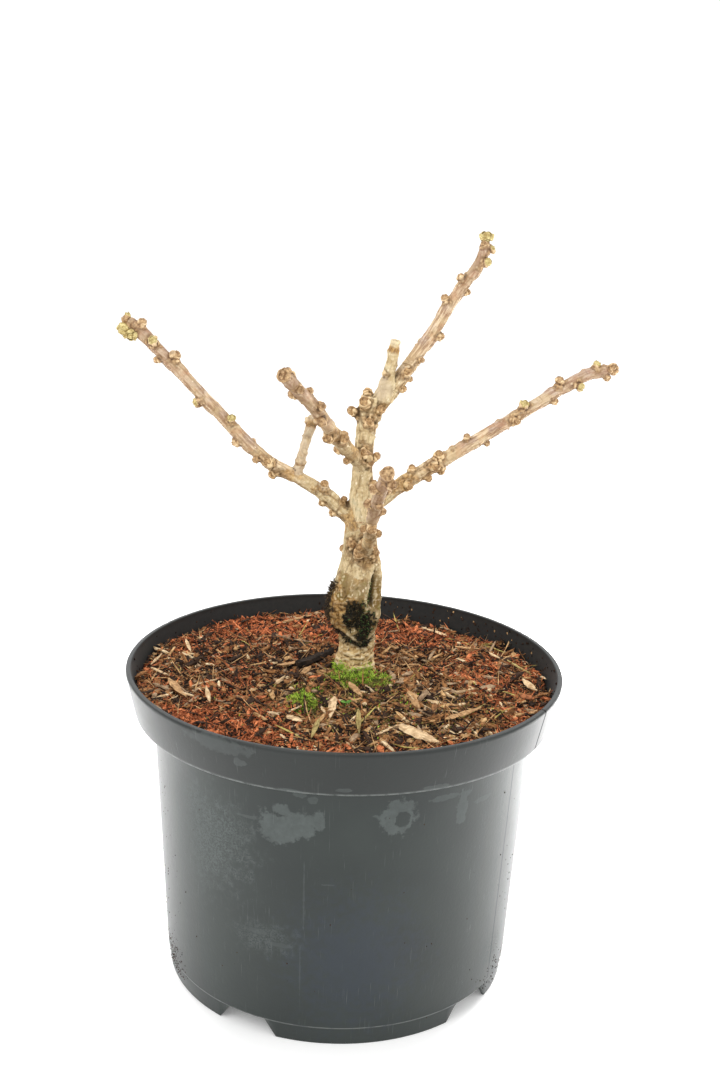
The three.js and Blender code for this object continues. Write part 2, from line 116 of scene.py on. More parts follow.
# The big flakes that can be told apart in the litter: both ends, width, thickness, colour
STRIPS = (
    (-24.5, -0.3, -6.2, 31, 5.0, 2.4, "dark"),
    (-26, 6, -14, 21, 4.2, 1.4, "dark"),
    (-35.7, 3.7, -23.7, 9.1, 5.0, 0.5, "tan"),
    (-23, -9.2, -17.7, 2.5, 3.6, 0.5, "tan"),
    (-78, -19.6, -65.5, -15.8, 1.8, 0.5, "pale"),
    (-65.9, -11.8, -57.7, -23.2, 4.4, 0.5, "rust"),
    (-102, 2.6, -90.8, -7.6, 1.8, 0.5, "pale"),
    (-90.8, -11.7, -79.1, -37.2, 5.0, 0.5, "tan"),
    (-88.5, 46, -82.7, 19.1, 2.2, 0.5, "pale"),
    (-103.3, 12.2, -99, 24.3, 1.8, 0.5, "pale"),
    (-69.8, -29.8, -66.5, -42.4, 2.6, 0.5, "pale"),
    (-35.1, -24, -30.5, -14.2, 2.0, 0.5, "pale"),
    (-27.3, -58.9, -19.6, -67.9, 4.2, 0.5, "pale"),
    (-11.5, -63.7, -14.7, -84.9, 2.6, 0.5, "straw"),
    (-4.7, -40.9, -6.3, -60.8, 4.2, 0.5, "pale"),
    (-11, -46.5, -8.7, -58.6, 2.2, 0.5, "pale"),
    (2.5, -21, 9.3, -35, 3.4, 0.5, "tan"),
    (32.8, -23.6, 37.9, -41.2, 4.0, 0.5, "tan"),
    (27.3, -66.5, 46, -82, 6.8, 0.5, "pale"),
    (50.1, -56.4, 69, -39, 3.4, 0.5, "tan"),
    (57, -51.6, 71.4, -34.7, 1.7, 0.5, "straw"),
    (24.7, 39.8, 38.1, 28.8, 2.0, 0.5, "tan"),
    (61.1, 48.3, 74.3, 44.8, 3.4, 0.5, "tan"),
    (79.9, 45.3, 85.2, 36.7, 1.8, 0.5, "pale"),
    (88.9, 33.5, 99.8, 12.7, 1.4, 0.5, "straw"),
    (94, 2.3, 100.9, -6.7, 3.6, 0.5, "pale"),
    (91.2, -15.6, 97.9, -20.3, 3.8, 0.5, "rust"),
    (93.9, -38.6, 98.3, -30.6, 3.2, 0.5, "tan"),
    (57.3, -17.8, 67.8, -14.3, 1.6, 0.5, "pale"),
    (7.4, -52.4, 7.9, -75.1, 2.6, 0.5, "straw"),
    (16.1, -76.8, 27.3, -66.5, 1.4, 0.5, "pale"),
    (30.2, 16.3, 39.6, 8.5, 2.0, 0.5, "tan"),
    (-20, 92, -38, 84, 3.2, 0.5, "tan"),
    (58, 76, 44, 88, 3.6, 0.5, "pale"),
)

# How many sections a big flake has
FLAKE_STATIONS = 13

# The loose bits' materials, each with its pale and its deep colour
LITTER_COLOURS = {
    "red": ("red_bark", (238, 146, 94), (104, 48, 28)),
    "rust": ("rust_bark", (190, 108, 66), (82, 42, 26)),
    "brown": ("brown_bark", (180, 128, 80), (74, 47, 29)),
    "olive": ("olive_mulch", (148, 128, 72), (66, 56, 30)),
    "dark": ("dark_bark", (70, 49, 35), (20, 14, 10)),
    "tan": ("tan_wood", (220, 180, 128), (140, 102, 64)),
    "pale": ("pale_wood", (246, 224, 184), (176, 142, 100)),
    "grey": ("grey_wood", (183, 156, 124), (125, 99, 76)),
    "straw": ("green_straw", (200, 186, 110), (140, 126, 64)),
}

# Pale and deep colour of the big flakes
FLAKE_COLOURS = {
    "dark": ((56, 42, 31), (20, 15, 11)),
    "pale": ((232, 204, 162), (176, 142, 104)),
    "tan": ((208, 168, 120), (146, 108, 72)),
    "straw": ((194, 174, 116), (132, 114, 66)),
    "rust": ((190, 122, 78), (112, 66, 42)),
}

# How many leaves a cushion's size calls for on each square millimetre, before its gaps are left, and
# how many places on the soil are tried for the thin moss
CUSHION_DENSITY = 26
THIN_MOSS_TRIES = 22000

# A cushion's leaves: kind, share, length, how thin they stand, seed of their clumps
CUSHION_LEAVES = (("bright", 0.8, (0.6, 2.4), -0.6, 142), ("deep", 0.6, (0.6, 1.9), -0.5, 143))

# Pale and deep colour of each moss, and the size of its flecks where it isn't 2.5
MOSS_COLOURS = {
    "bright_moss": ((206, 226, 92), (98, 146, 32)),
    "deep_moss": ((112, 116, 46), (58, 60, 24)),
    "dull_moss": ((128, 118, 58), (74, 68, 34)),
    "black_moss": ((46, 44, 30), (10, 10, 8), 1.1),
    "burnt_bark": ((78, 62, 46), (16, 13, 10), 1.3),
    "pale_moss": ((206, 204, 150), (138, 134, 84), 1.3),
    "dry_moss": ((130, 112, 74), (66, 54, 34), 1.1),
    "wet_moss": ((112, 144, 82), (38, 58, 30), 1.4),
    "foot_moss_green": ((206, 226, 92), (98, 146, 32)),
    "sprout_green": ((118, 164, 66), (70, 112, 40)),
}

# The middle of the trunk's cut, and the trunk: height above the cut, lean and radius
CUT = np.array((5, 6, SOIL["middle"] + 0.3))
TRUNK = np.array((
    (0, -0.3, 10.6), (6, 0, 9.6), (16, 0.9, 8.9), (26, 0.2, 10.1), (34, -0.4, 12.3), (42, -0.6, 12.8),
    (50, 0.4, 11.8), (59, 1.6, 10.6), (68, 1.0, 8.9), (80, 0.9, 7.8), (91, 0.9, 6.8), (104, 0.6, 5.4),
    (121, 1.0, 4.8), (134, 2.1, 5.2), (143, 3.2, 5.4), (147, 3.8, 4.2),
))

# Ribs and grooves of the trunk: azimuth, lowest and highest height above the cut, how far out, width
TRUNK_RIBS = (
    (-25, 30, 58, 1.6, 14), (-62, 36, 52, 1.2, 8), (-134, 38, 56, 1.5, 10), (-150, 24, 42, 2.0, 24),
    (-95, 30, 58, 0.6, 18), (100, 22, 62, 1.6, 26), (150, 28, 52, -1.2, 12), (45, 20, 48, 1.2, 20),
    (10, 26, 50, -1.3, 10), (-100, 56, 92, 0.6, 16), (60, 60, 100, 0.7, 18),
)

# The graft's open wound and its lower edge
WOUND = {"azimuth": -48, "slant": 0.7, "low": 37, "high": 60, "deep": 4.2, "wide": 9}
LEDGE = {"azimuth": -72, "lowest": 17, "rise": 0.11, "out": 1.2}

# Ovals on the trunk: azimuth, height above the cut, how many degrees and how high each reaches
KNOBBLY = (-150, 34, 62, 20)
RUSTY_SIDE = (-150, 34, 52, 17)
RUSTY_SPURS = (-82, 61, 44, 10)
DARK_SIDE = (-172, 40, 27, 12)
# Where the painted shade under the graft's edge lies
UNDER_LEDGE = (-100, 22, 80, 16)

# The graft's sores: the same, and how torn the edge of each is
SORES = ((-96, 35, 23, 9, 1), (-64, 27, 26, 9.5, 1), (-83, 32, 21, 7.5, 0.5))

# Spurs on the trunk: height above the cut, azimuth, how far each stands out, radius
TRUNK_SPURS = (
    (58, 150, 3.4, 2.6), (60, -96, 6.4, 3.3), (65, -118, 3.0, 2.3), (60, -50, 4.6, 2.8),
    (66, -76, 5.6, 3.0), (71, 60, 3.4, 2.4), (86, 120, 3.0, 2.2), (98, -20, 3.0, 2.0),
    (111, 10, 5.0, 2.3), (110, -46, 2.6, 2.2), (114, -76, 3.2, 3.2), (116, 110, 3.6, 2.2),
    (127, 40, 3.6, 2.2), (131, -75, 3.4, 2.3), (134, 186, 6.2, 2.6), (136, -22, 5.2, 2.6),
    (141, -115, 3.8, 2.8), (143, 100, 4.4, 2.6),
)

# Ages and numbers that tell the limbs apart in the samples, and the gap between two samples
OLD = 0.2
DEAD = 0.3
LIMB_CODE = 200
SNAG_CODE = 1400
SAMPLE_STEP = 1.5

# The limbs, as in the source: azimuth and climb pass evenly through their values, radii are those at
# the trunk, at the last growth ring and at the tip, and a spur is a place along and a turn about it. Green
# lists the spurs whose buds open and their size, tip is the colour of the bud there, knobs sizes the spurs.
LIMBS = {
    "left": {
        "from": 79,
        "bough": {"length": 57, "azimuth": (178, 176, 175), "climb": (41, 40, 27, 24)},
        "shoot": {"length": 99, "azimuth": (175, 177), "climb": (37, 46, 45, 45, 41)},
        "radii": (3.9, 3.3, 3.1),
        "spurs": ((12, 180), (12.5, 10), (20, 185), (25, -15), (38, 90), (50, 180), (55, -80), (61, -130),
                  (68, 70), (74, 185), (84, -35), (93, 100), (102, 180), (115, 90), (126, 0),
                  (131, 180), (139, -60), (144, 120), (149, 0)),
        "green": {84: 1.2, 102: 0.9, 139: 1.0},
    },
    "right": {
        "from": 83,
        "bough": {"length": 50, "azimuth": (18, 16), "climb": (46, 33, 25)},
        "shoot": {"length": 102, "azimuth": (16, 15), "climb": (30, 29, 30, 31, 29, 6)},
        "radii": (3.9, 3.6, 2.9),
        "spurs": ((18, -80), (26, 100), (33, 0), (38, 175), (43, 85), (46, 190), (48, 15), (57, -80),
                  (66, 0), (74, 180), (85, -90), (92, 100), (100, 25), (108, -100), (116, 180),
                  (123, 0), (131, 150), (138, -80), (144, 0), (149, 180), (151, 60)),
        "green": {100: 1.2, 131: 1.3, 144: 1.2},
    },
    "front_left": {
        "from": 112,
        "bough": {"length": 53, "azimuth": (-112, -114), "climb": (30, 30, 39)},
        "shoot": {"length": 51, "azimuth": (-115, -117), "climb": (39, 34, 33)},
        "radii": (3.8, 3.2, 3.0),
        "spurs": ((9, -60), (13, 150), (21, 100), (29, 0), (38, -95), (45, 170), (51, 40), (62, -150),
                  (70, -80), (78, 0), (86, 110), (93, -110), (99, 30)),
    },
    "front": {
        "from": 59,
        "bough": {"length": 55, "azimuth": (-75, -86, -88), "climb": (42, 42, 36)},
        "shoot": {"length": 61, "azimuth": (-86, -83), "climb": (35, 34, 35)},
        "radii": (3.1, 2.9, 2.9),
        "spurs": ((13, -85), (17, 95), (21, 0), (28, -40), (34, -95), (42, 110), (49, 180), (57, 20),
                  (64, -90), (73, 80), (82, 190), (90, -60), (98, 100), (106, 0), (111, -140)),
    },
    "leader": {
        "from": 135,
        "bough": {"length": 34, "azimuth": (10, 12), "climb": (53, 53)},
        "shoot": {"length": 71, "azimuth": (12, 10), "climb": (58, 54, 62, 55, 55, 84)},
        "radii": (4.6, 3.6, 2.45),
        "spurs": ((17, -90), (20, 170), (26, 180), (28, 85), (37, 130), (44, -85), (52, 175), (60, -100),
                  (69, 0), (78, 185), (82, 0), (88, -90), (95, 140), (101, 190), (103, 60)),
        "green": {44: 1.2, 95: 1.2, 101: 0.9},
        "tip": "green",
        "knobs": 0.84,
    },
}

# The right limb's place among the limbs
RIGHT = list(LIMBS).index("right")

# The buds crowded at the left shoot's tip: how far back from it, direction, radius, length
LEFT_CLUSTER = (
    {"back": 1.5, "azimuth": 190, "climb": -30, "radius": 3.3, "length": 6.0},
    {"back": 4.0, "azimuth": 235, "climb": -38, "radius": 2.4, "length": 5.2},
    {"back": 3.5, "azimuth": 140, "climb": -45, "radius": 2.2, "length": 5.0},
    {"back": 0.5, "azimuth": 170, "climb": 65, "radius": 1.2, "length": 4.2},
)

# The dead stubs, as in the source; the first is the left one
SNAGS = {
    "left_snag": {"on": "left", "at": 42, "length": 31, "azimuth": (56, 50),
                  "climb": (70, 66, 60), "radii": (2.6, 2.2, 2.6), "collar": 5, "swell": 0.06,
                  "spurs": ((6.5, 95, 0.8), (6.5, -100, 0.8), (6, 10, 0.7), (6.2, 150, 0.6),
                            (12, 90, 0.6), (20, -70, 0.6), (28, -60, 1.1), (29, 110, 1.0))},
    "top_snag": {"on": "leader", "at": 13, "length": 30, "azimuth": (-40, -40),
                 "climb": (72, 80, 80), "radii": (4.2, 3.0, 2.5), "collar": 9, "swell": 0.22,
                 "spurs": ((12, 60, 1), (17, -100, 0.9), (26, -30, 0.8))},
}

# Brown rings on the left snag: how far along it and how strong
SNAG_KNOTS = ((6.5, 0.8), (11, 0.5), (20.5, 0.45), (27, 0.7))

# How much darker each shoot is, as a share of brown: painted shade, laid on some shoots more than on others
SHOOT_DEPTHS = {"left": 0.12, "right": 0.08, "leader": 0.0, "front_left": 0.14, "front": 0.3}

# A young limb's spur, and the bud at a limb's tip
SPUR = {"out": 3.2, "radius": 2.1, "lean": 35, "stub": 0.55}
TIP_BUD = {"length": 5.5, "radius": 3.1}

# Pale and deep colour of each kind of bud
BUD_COLOURS = {
    "brown": ((206, 170, 122), (132, 98, 60)),
    "ochre": ((206, 172, 128), (132, 98, 64)),
    "green": ((222, 206, 146), (160, 136, 80)),
}

# The light: the world's strength, then each lamp
WORLD_LIGHT = 1.12
LAMPS = {
    "key": {"place": (-0.9, -1.2, 1.7), "aim": (0, 0, 0.2), "size": 1.1, "power": 11, "spread": 180},
    "fill": {"place": (1.4, -0.6, 1.2), "aim": (0, 0, 0.2), "size": 1.4, "power": 4, "spread": 180},
    "top": {"place": (0.1, 0.4, 2.0), "aim": (0, 0, 0.2), "size": 1.4, "power": 6, "spread": 180},
    "floor_right": {"place": (0.65, 0.75, 1.0), "aim": (0.5, 0.4, 0), "size": 0.4, "power": 8,
                    "spread": 50},
    "floor_left": {"place": (-0.65, 0.75, 1.0), "aim": (-0.5, 0.35, 0), "size": 0.4, "power": 3,
                   "spread": 50},
}

# The floor: half its side, its colour and how far it glows, painted light that fills the shadows on it
FLOOR = {"side": 8.0, "colour": (0.93, 0.93, 0.925, 1), "glow": 0.15}

# The camera's place, angles, lens and sensor
CAMERA = {"place": (0, -742.8, 459.4), "pitch": 16.75, "roll": 2.02, "yaw": 0.44, "lens": 50.54,
          "sensor": 36}


# Numbers

def hashed(cells, seed):
    """A number from 0 to 1 for each whole-number cell."""
    mixed = cells[..., 0] * 73856093 ^ cells[..., 1] * 19349663 ^ cells[..., 2] * 83492791
    mixed = (mixed ^ (seed * 7919 + 13)) & 0xFFFFFFFF
    mixed = ((mixed ^ (mixed >> 15)) * 0x2C1B3C6D) & 0xFFFFFFFF
    mixed = ((mixed ^ (mixed >> 12)) * 0x297A2D39) & 0xFFFFFFFF
    return ((mixed ^ (mixed >> 15)) & 0xFFFFFF) / 0xFFFFFF


def noise(points, size, seed=0):
    """Smooth noise from -1 to 1 whose lumps are about size across."""
    place = np.asarray(points, float) / size + 4096.37
    low = np.floor(place).astype(np.int64)
    part = place - low
    part = part * part * (3 - 2 * part)
    total = np.zeros(len(place))
    for corner in itertools.product((0, 1), repeat=3):
        weight = np.prod(np.where(corner, part, 1 - part), axis=1)
        total += weight * hashed(low + np.array(corner), seed)
    return total * 2 - 1


def layered(points, size, octaves=3, seed=0):
    """Noise with finer and fainter noise on top."""
    return sum(noise(points, size / 2**k, seed + k) / 2**k for k in range(octaves))


def faded(value, low, high):
    """0 below low, 1 above high and smooth between."""
    t = np.clip((value - low) / (high - low), 0, 1)
    return t * t * (3 - 2 * t)


def through(values, t):
    place = min(t, 0.9999) * (len(values) - 1)
    low = int(place)
    high = min(low + 1, len(values) - 1)
    return values[low] + (values[high] - values[low]) * (place - low)


def heading(azimuth, climb):
    a, c = math.radians(azimuth), math.radians(climb)
    return np.array((math.cos(a) * math.cos(c), math.sin(a) * math.cos(c), math.sin(c)))


def unit(vectors):
    vectors = np.asarray(vectors, float)
    return vectors / np.linalg.norm(vectors, axis=-1, keepdims=True)


def frame_of(direction):
    """The upper side and the right hand of a direction."""
    up = unit(np.array((0, 0, 1)) - direction * direction[2])
    return up, np.cross(direction, up)


def turned(degrees):
    a = math.radians(degrees)
    return math.cos(a), math.sin(a)


def away_from(angles, azimuth):
    """Degrees round from an azimuth, -180 to 180."""
    return (angles - azimuth + 180) % 360 - 180


def on_level(x, y):
    """Places at the height of the floor, as rows for the noise."""
    return np.column_stack([x, y, np.zeros(len(x))])


def circle(radius, angles, height):
    """Places round the pot's axis at angles in radians."""
    x, y = radius * np.cos(angles), radius * np.sin(angles)
    return np.column_stack([x, y, np.broadcast_to(height, x.shape)])


def zones(x, y, ovals):
    """The sum of ovals on the soil, each strongest in its middle and fading out round it."""
    return sum(strong * np.exp(-(((x - middle_x) / long) ** 2 + ((y - middle_y) / wide) ** 2))
               for middle_x, middle_y, long, wide, strong in ovals)


# Meshes

class Parts:
    """Closed shapes gathered into one mesh."""

    def __init__(self):
        self.points, self.faces, self.count = [], [], 0

    def add(self, points, faces):
        self.points.append(np.asarray(points, float))
        self.faces.extend([[int(i) + self.count for i in face] for face in faces])
        self.count += len(points)

    def mesh(self, name):
        data = bpy.data.meshes.new(name)
        data.from_pydata((np.vstack(self.points) * MM).tolist(), [], self.faces)
        data.update()
        return data


def skin(rings):
    """A closed skin through rings of points, with a fan over either end."""
    rings = np.asarray(rings, float)
    count, sides = rings.shape[:2]
    points = np.vstack([rings[0].mean(0), rings.reshape(-1, 3), rings[-1].mean(0)])
    last = len(points) - 1
    faces = []
    for side in range(sides):
        after = (side + 1) % sides
        faces.append((0, 1 + after, 1 + side))
        faces.append((last, 1 + (count - 1) * sides + side, 1 + (count - 1) * sides + after))
        for ring in range(count - 1):
            low, high = 1 + ring * sides, 1 + (ring + 1) * sides
            faces.append((low + side, low + after, high + after, high + side))
    return points, faces


def tube(stations, sides):
    """A round skin along stations of place, direction and radius."""
    angles = np.linspace(0, 2 * math.pi, sides, endpoint=False)
    rings = []
    for place, direction, radius in stations:
        up, right = frame_of(direction)
        rings.append(place + radius * (np.outer(np.cos(angles), up) + np.outer(np.sin(angles), right)))
    return skin(rings)


def ball(centre, axis, across, along, sides=10, rows=7):
    """An ellipsoid whose long or short axis is given."""
    turns = np.linspace(0.12, math.pi - 0.12, rows)
    stations = [(centre - axis * along * math.cos(t), axis, across * math.sin(t)) for t in turns]
    return tube(stations, sides)


def shell_faces(wide, tall):
    """Faces of a closed shell: an outer and an inner grid joined round the rim."""
    grid = wide * tall
    faces = []
    for row in range(tall - 1):
        for col in range(wide - 1):
            a = row * wide + col
            faces.append((a, a + 1, a + wide + 1, a + wide))
            faces.append((grid + a + wide, grid + a + wide + 1, grid + a + 1, grid + a))
    rim = [*range(wide), *range(2 * wide - 1, grid, wide), *range(grid - 2, grid - wide - 1, -1),
           *range(grid - 2 * wide, 0, -wide)]
    for a, b in zip(rim, rim[1:] + rim[:1]):
        faces.append((b, a, grid + a, grid + b))
    return faces


def placed(name, data):
    """A new object in the scene."""
    obj = bpy.data.objects.new(name, data)
    bpy.context.scene.collection.objects.link(obj)
    return obj


def evaluated(obj):
    """An object's mesh with its modifiers applied."""
    return bpy.data.meshes.new_from_object(obj.evaluated_get(bpy.context.evaluated_depsgraph_get()))


def skinned(name, rings):
    """A mesh that is one closed skin."""
    parts = Parts()
    parts.add(*skin(rings))
    return parts.mesh(name)


def smoothed(data, smooth):
    data.polygons.foreach_set("use_smooth", np.full(len(data.polygons), smooth))


def piece(name, data, materials, *replaced, slot, smooth=True):
    """Puts a mesh in the scene as a piece of the object."""
    obj = placed(name, data)
    for material in materials:
        data.materials.append(material)
    smoothed(data, smooth)
    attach(obj, "root")
    if replaced:
        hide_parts(*replaced)
    return obj


def repeated(name, points, faces, material, slot):
    """One piece of many shapes that share their faces; points holds a row of places for each shape."""
    count, each = points.shape[:2]
    parts = Parts()
    parts.points, parts.count = [points.reshape(-1, 3)], count * each
    parts.faces = [[i + start for i in face] for start in range(0, count * each, each) for face in faces]
    return piece(name, parts.mesh(name), [material], slot=slot, smooth=False)


def fused(parts, voxel, soften):
    """The parts joined into one even skin, its corners softened."""
    obj = placed("raw", parts.mesh("raw"))
    remesh = obj.modifiers.new("join", "REMESH")
    remesh.mode = "VOXEL"
    remesh.voxel_size = voxel * MM
    soft = obj.modifiers.new("soften", "SMOOTH")
    soft.factor = 0.5
    soft.iterations = soften
    data, raw = evaluated(obj), obj.data
    bpy.data.objects.remove(obj)
    bpy.data.meshes.remove(raw)
    return data


def points_of(data):
    found = np.empty(len(data.vertices) * 3)
    data.vertices.foreach_get("co", found)
    return found.reshape(-1, 3) / MM


def normals_of(data):
    found = np.empty(len(data.vertices) * 3, np.float32)
    data.vertex_normals.foreach_get("vector", found)
    return found.reshape(-1, 3).astype(float)


def move_to(data, points):
    data.vertices.foreach_set("co", (points * MM).ravel())
    data.update()


def edges_of(data):
    found = np.empty(len(data.edges) * 2, np.int32)
    data.edges.foreach_get("vertices", found)
    return found.reshape(-1, 2)


def spread(values, edges, times):
    """Values averaged with their neighbours'."""
    count = np.bincount(edges.ravel(), minlength=len(values))
    for _ in range(times):
        total = np.bincount(edges[:, 0], values[edges[:, 1]], len(values))
        total += np.bincount(edges[:, 1], values[edges[:, 0]], len(values))
        values = (values + total) / (1 + count)
    return values


def hollows(data, wide, shift, size):
    """How far each point lies in a crevice of some breadth, from -1 on a ridge to 1 in a cleft."""
    points, normals, edges = points_of(data), normals_of(data), edges_of(data)
    smooth = np.stack([spread(points[:, k], edges, wide) for k in range(3)], 1)
    depth = ((smooth - points) * normals).sum(1)
    return np.clip((depth + shift) / size, -1, 1)


def keep(data, name, values):
    """A number for each point that a material can read."""
    made = data.attributes.new(name, "FLOAT", "POINT")
    made.data.foreach_set("value", np.asarray(values, np.float32))


def keep_vectors(data, name, vectors):
    """A place for each point that a material can read, in metres."""
    made = data.attributes.new(name, "FLOAT_VECTOR", "POINT")
    made.data.foreach_set("vector", (vectors * MM).ravel().astype(np.float32))


# Materials

def srgb(red, green, blue):
    """A colour as a screen states it, turned into light."""
    return tuple(((c / 255 + 0.055) / 1.055) ** 2.4 for c in (red, green, blue))


def dimmed(colour, share):
    """The screen's colour that gives a share of a colour's light."""
    return tuple((c + 0.055 * 255) * share ** (1 / 2.4) - 0.055 * 255 for c in colour)


class Shader:
    """A material's nodes, added and joined by name."""

    def __init__(self, name, roughness=0.6, specular=0.5):
        self.material = bpy.data.materials.new(name)
        self.material.use_nodes = True
        self.tree = self.material.node_tree
        self.surface = self.tree.nodes["Principled BSDF"]
        self.surface.inputs["Roughness"].default_value = roughness
        self.surface.inputs["Specular IOR Level"].default_value = specular

    def node(self, kind, settings=None, **inputs):
        made = self.tree.nodes.new("ShaderNode" + kind)
        for key, value in (settings or {}).items():
            setattr(made, key, value)
        for key, value in inputs.items():
            self.feed(made.inputs[int(key[1:]) if key[0] == "i" and key[1:].isdigit() else key], value)
        return made

    def feed(self, socket, value):
        """Gives a socket a number, a colour, another node's result or, by its name, an attribute."""
        if isinstance(value, str):
            value = self.node("Attribute", {"attribute_name": value}).outputs["Fac"]
        if isinstance(value, bpy.types.NodeSocket):
            self.tree.links.new(value, socket)
        else:
            socket.default_value = value

    def place(self):
        return self.node("TexCoord").outputs["Object"]

    def vectors(self, name):
        return self.node("Attribute", {"attribute_name": name}).outputs["Vector"]

    def corky_dots(self, grain, gap, size, rare):
        """Pale raised dots, long along the limb, in some of the cells."""
        cells = self.node("TexVoronoi", Vector=self.stretched(grain, (1, 1, 0.6)), Scale=1 / (gap * MM))
        chosen = self.between(cells.outputs["Color"], rare, rare + 0.02)
        return self.times(self.between(cells.outputs["Distance"], size, size * 0.6), chosen)

    def stretched(self, vector, scale):
        return self.node("VectorMath", {"operation": "MULTIPLY"}, i0=vector, i1=scale).outputs["Vector"]

    def noise(self, vector, size, detail=3.0, rough=0.55):
        """Noise with lumps about size millimetres across."""
        made = self.node("TexNoise", Vector=vector, Scale=1 / (size * MM), Detail=detail, Roughness=rough)
        return made.outputs["Fac"]

    def math(self, operation, a, b=0.0):
        return self.node("Math", {"operation": operation}, i0=a, i1=b).outputs[0]

    def times(self, a, b):
        return self.math("MULTIPLY", a, b)

    def plus(self, a, b):
        return self.math("ADD", a, b)

    def away(self, value, level):
        """How far a value is from a level."""
        return self.math("ABSOLUTE", self.math("SUBTRACT", value, level))

    def most(self, values):
        """The largest of several values."""
        largest, *others = values
        for value in others:
            largest = self.math("MAXIMUM", largest, value)
        return largest

    def between(self, value, low, high):
        """0 below low, 1 above high and smooth between."""
        made = self.node("MapRange", {"interpolation_type": "SMOOTHSTEP"}, Value=value)
        made.inputs["From Min"].default_value = low
        made.inputs["From Max"].default_value = high
        return made.outputs["Result"]

    def ramp(self, value, stops):
        """Colours at places from 0 to 1."""
        made = self.node("ValToRGB", Fac=value)
        elements = made.color_ramp.elements
        while len(elements) < len(stops):
            elements.new(1.0)
        for element, (place, colour) in zip(elements, stops):
            element.position = place
            element.color = (*srgb(*colour), 1)
        return made.outputs["Color"]

    def mix(self, amount, a, b):
        made = self.node("Mix", {"data_type": "RGBA"}, Factor=amount)
        for socket, value in ((made.inputs[6], a), (made.inputs[7], b)):
            self.feed(socket, value if isinstance(value, bpy.types.NodeSocket) else (*srgb(*value), 1))
        return made.outputs[2]

    def layers(self, tone, *rows):
        """Colours laid over a tone in turn: each row is where the colour lies, how strongly, the colour."""
        for share, strength, colour in rows:
            tone = self.mix(self.times(share, strength), tone, colour)
        return tone

    def mottled(self, place, size, detail, rough, stops):
        """A tone that varies from lump to lump."""
        return self.ramp(self.noise(place, size, detail, rough), stops)

    def spur_tone(self, place):
        """A spur's wood with painted light: pale tan on its knuckles as a painted highlight, brown at its
        foot and dark between two spurs as painted shade.
        """
        # Painted shade and highlights: the tone runs from pale on the knuckles to dark in the broad hollows
        depth = self.plus(self.times("deep", 0.42), self.noise(place, 1.5, 3, 0.7))
        return self.ramp(depth, (
            (0.12, (230, 202, 158)), (0.34, (202, 170, 126)), (0.54, (158, 124, 84)),
            (0.72, (112, 84, 54)), (0.9, (54, 39, 25)),
        ))

    def shaded_spur_foot(self):
        """Where painted shade darkens the ring of wood round each spur's foot."""
        return self.times(self.between("knob", 0.0, 0.5), self.between("knob", 0.95, 0.5))

    def colour(self, value):
        self.feed(self.surface.inputs["Base Color"], value)

    def bump(self, height, distance):
        made = self.node("Bump", Height=height, Distance=distance * MM)
        self.tree.links.new(made.outputs["Normal"], self.surface.inputs["Normal"])


def old_wood(made, place, streaks):
    """Beige and grey with grime and algae, rosy, flaky and rusty where the wood is so."""
    base = made.mottled(place, 9, 4, 0.65, (
        (0.30, (192, 178, 144)), (0.42, (214, 194, 153)), (0.55, (184, 160, 118)), (0.68, (212, 197, 160)),
    ))
    rosy = made.ramp(streaks, ((0.38, (215, 190, 158)), (0.5, (188, 158, 126)), (0.64, (145, 112, 84))))
    flaky = made.mottled(place, 2.8, 4, 0.7, (
        (0.34, (228, 202, 152)), (0.5, (200, 167, 112)), (0.64, (150, 112, 64)),
    ))
    rust = made.mottled(place, 2.6, 4, 0.7, (
        (0.34, (216, 184, 126)), (0.46, (184, 142, 84)), (0.56, (134, 94, 50)), (0.66, (76, 54, 30)),
    ))
    return made.layers(
        base,
        ("grime", 0.95, (119, 93, 45)),
        (made.times("grime", made.between(made.noise(place, 5, 3), 0.5, 0.66)), 0.55, (136, 128, 70)),
        ("rosy", 1, rosy),
        (made.between(streaks, 0.5, 0.62), 0.62, (132, 108, 72)),
        ("flaky", 0.85, flaky),
        ("rust", 1, rust),
    )


def bark_material():
    """Old wood: beige and grey, orange where it is knobbly, with pale corky dots; painted shade brown in its
    clefts, round each spur's foot and underneath, and painted highlights on its ridges.
    """
    made = Shader("old_bark", roughness=0.8, specular=0.15)
    place, grain = made.place(), made.vectors("grain")
    streaks = made.noise(made.stretched(grain, (1, 1, 0.2)), 1.6, 4, 0.65)
    clean = made.between("rust", 0.4, 0.1)
    rows = made.between(made.noise(made.stretched(grain, (1, 1, 0.05)), 2.4, 1), 0.54, 0.6)
    fine_dots = made.times(made.times(made.corky_dots(grain, 1.5, 0.34, 0.4), rows), clean)
    # Painted highlight: the ridges are made pale
    ridge = made.times(made.between("hollow", -0.1, -0.8), made.between("rust", 1.0, 0.1))
    made.colour(made.layers(
        old_wood(made, place, streaks),
        (made.times(made.corky_dots(grain, 3.0, 0.2, 0.66), clean), 1, (232, 218, 188)),
        (fine_dots, 0.75, (234, 222, 192)),
        (ridge, 0.55, (232, 216, 180)),
        (made.times("knob", made.between("rust", 1.3, 0.0)), 0.85, made.spur_tone(place)),
        # Painted shade round each spur's foot
        (made.shaded_spur_foot(), 0.5, (90, 66, 40)),
        ("grey", 0.7, made.mix(made.noise(place, 1.6, 3), (226, 210, 182), (172, 150, 122))),
        # Painted shade: darker underneath and in the clefts
        ("under", 0.42, (120, 96, 66)),
        (made.between("hollow", 0.3, 1.1), 0.85, (74, 54, 33)),
        # dark: wet wood and stains, with painted shade in the slit and under the graft's edge
        ("dark", 1, (38, 32, 22)),
    ))
    made.bump(made.plus(streaks, made.noise(place, 0.5, 2)), 0.14)
    return made.material


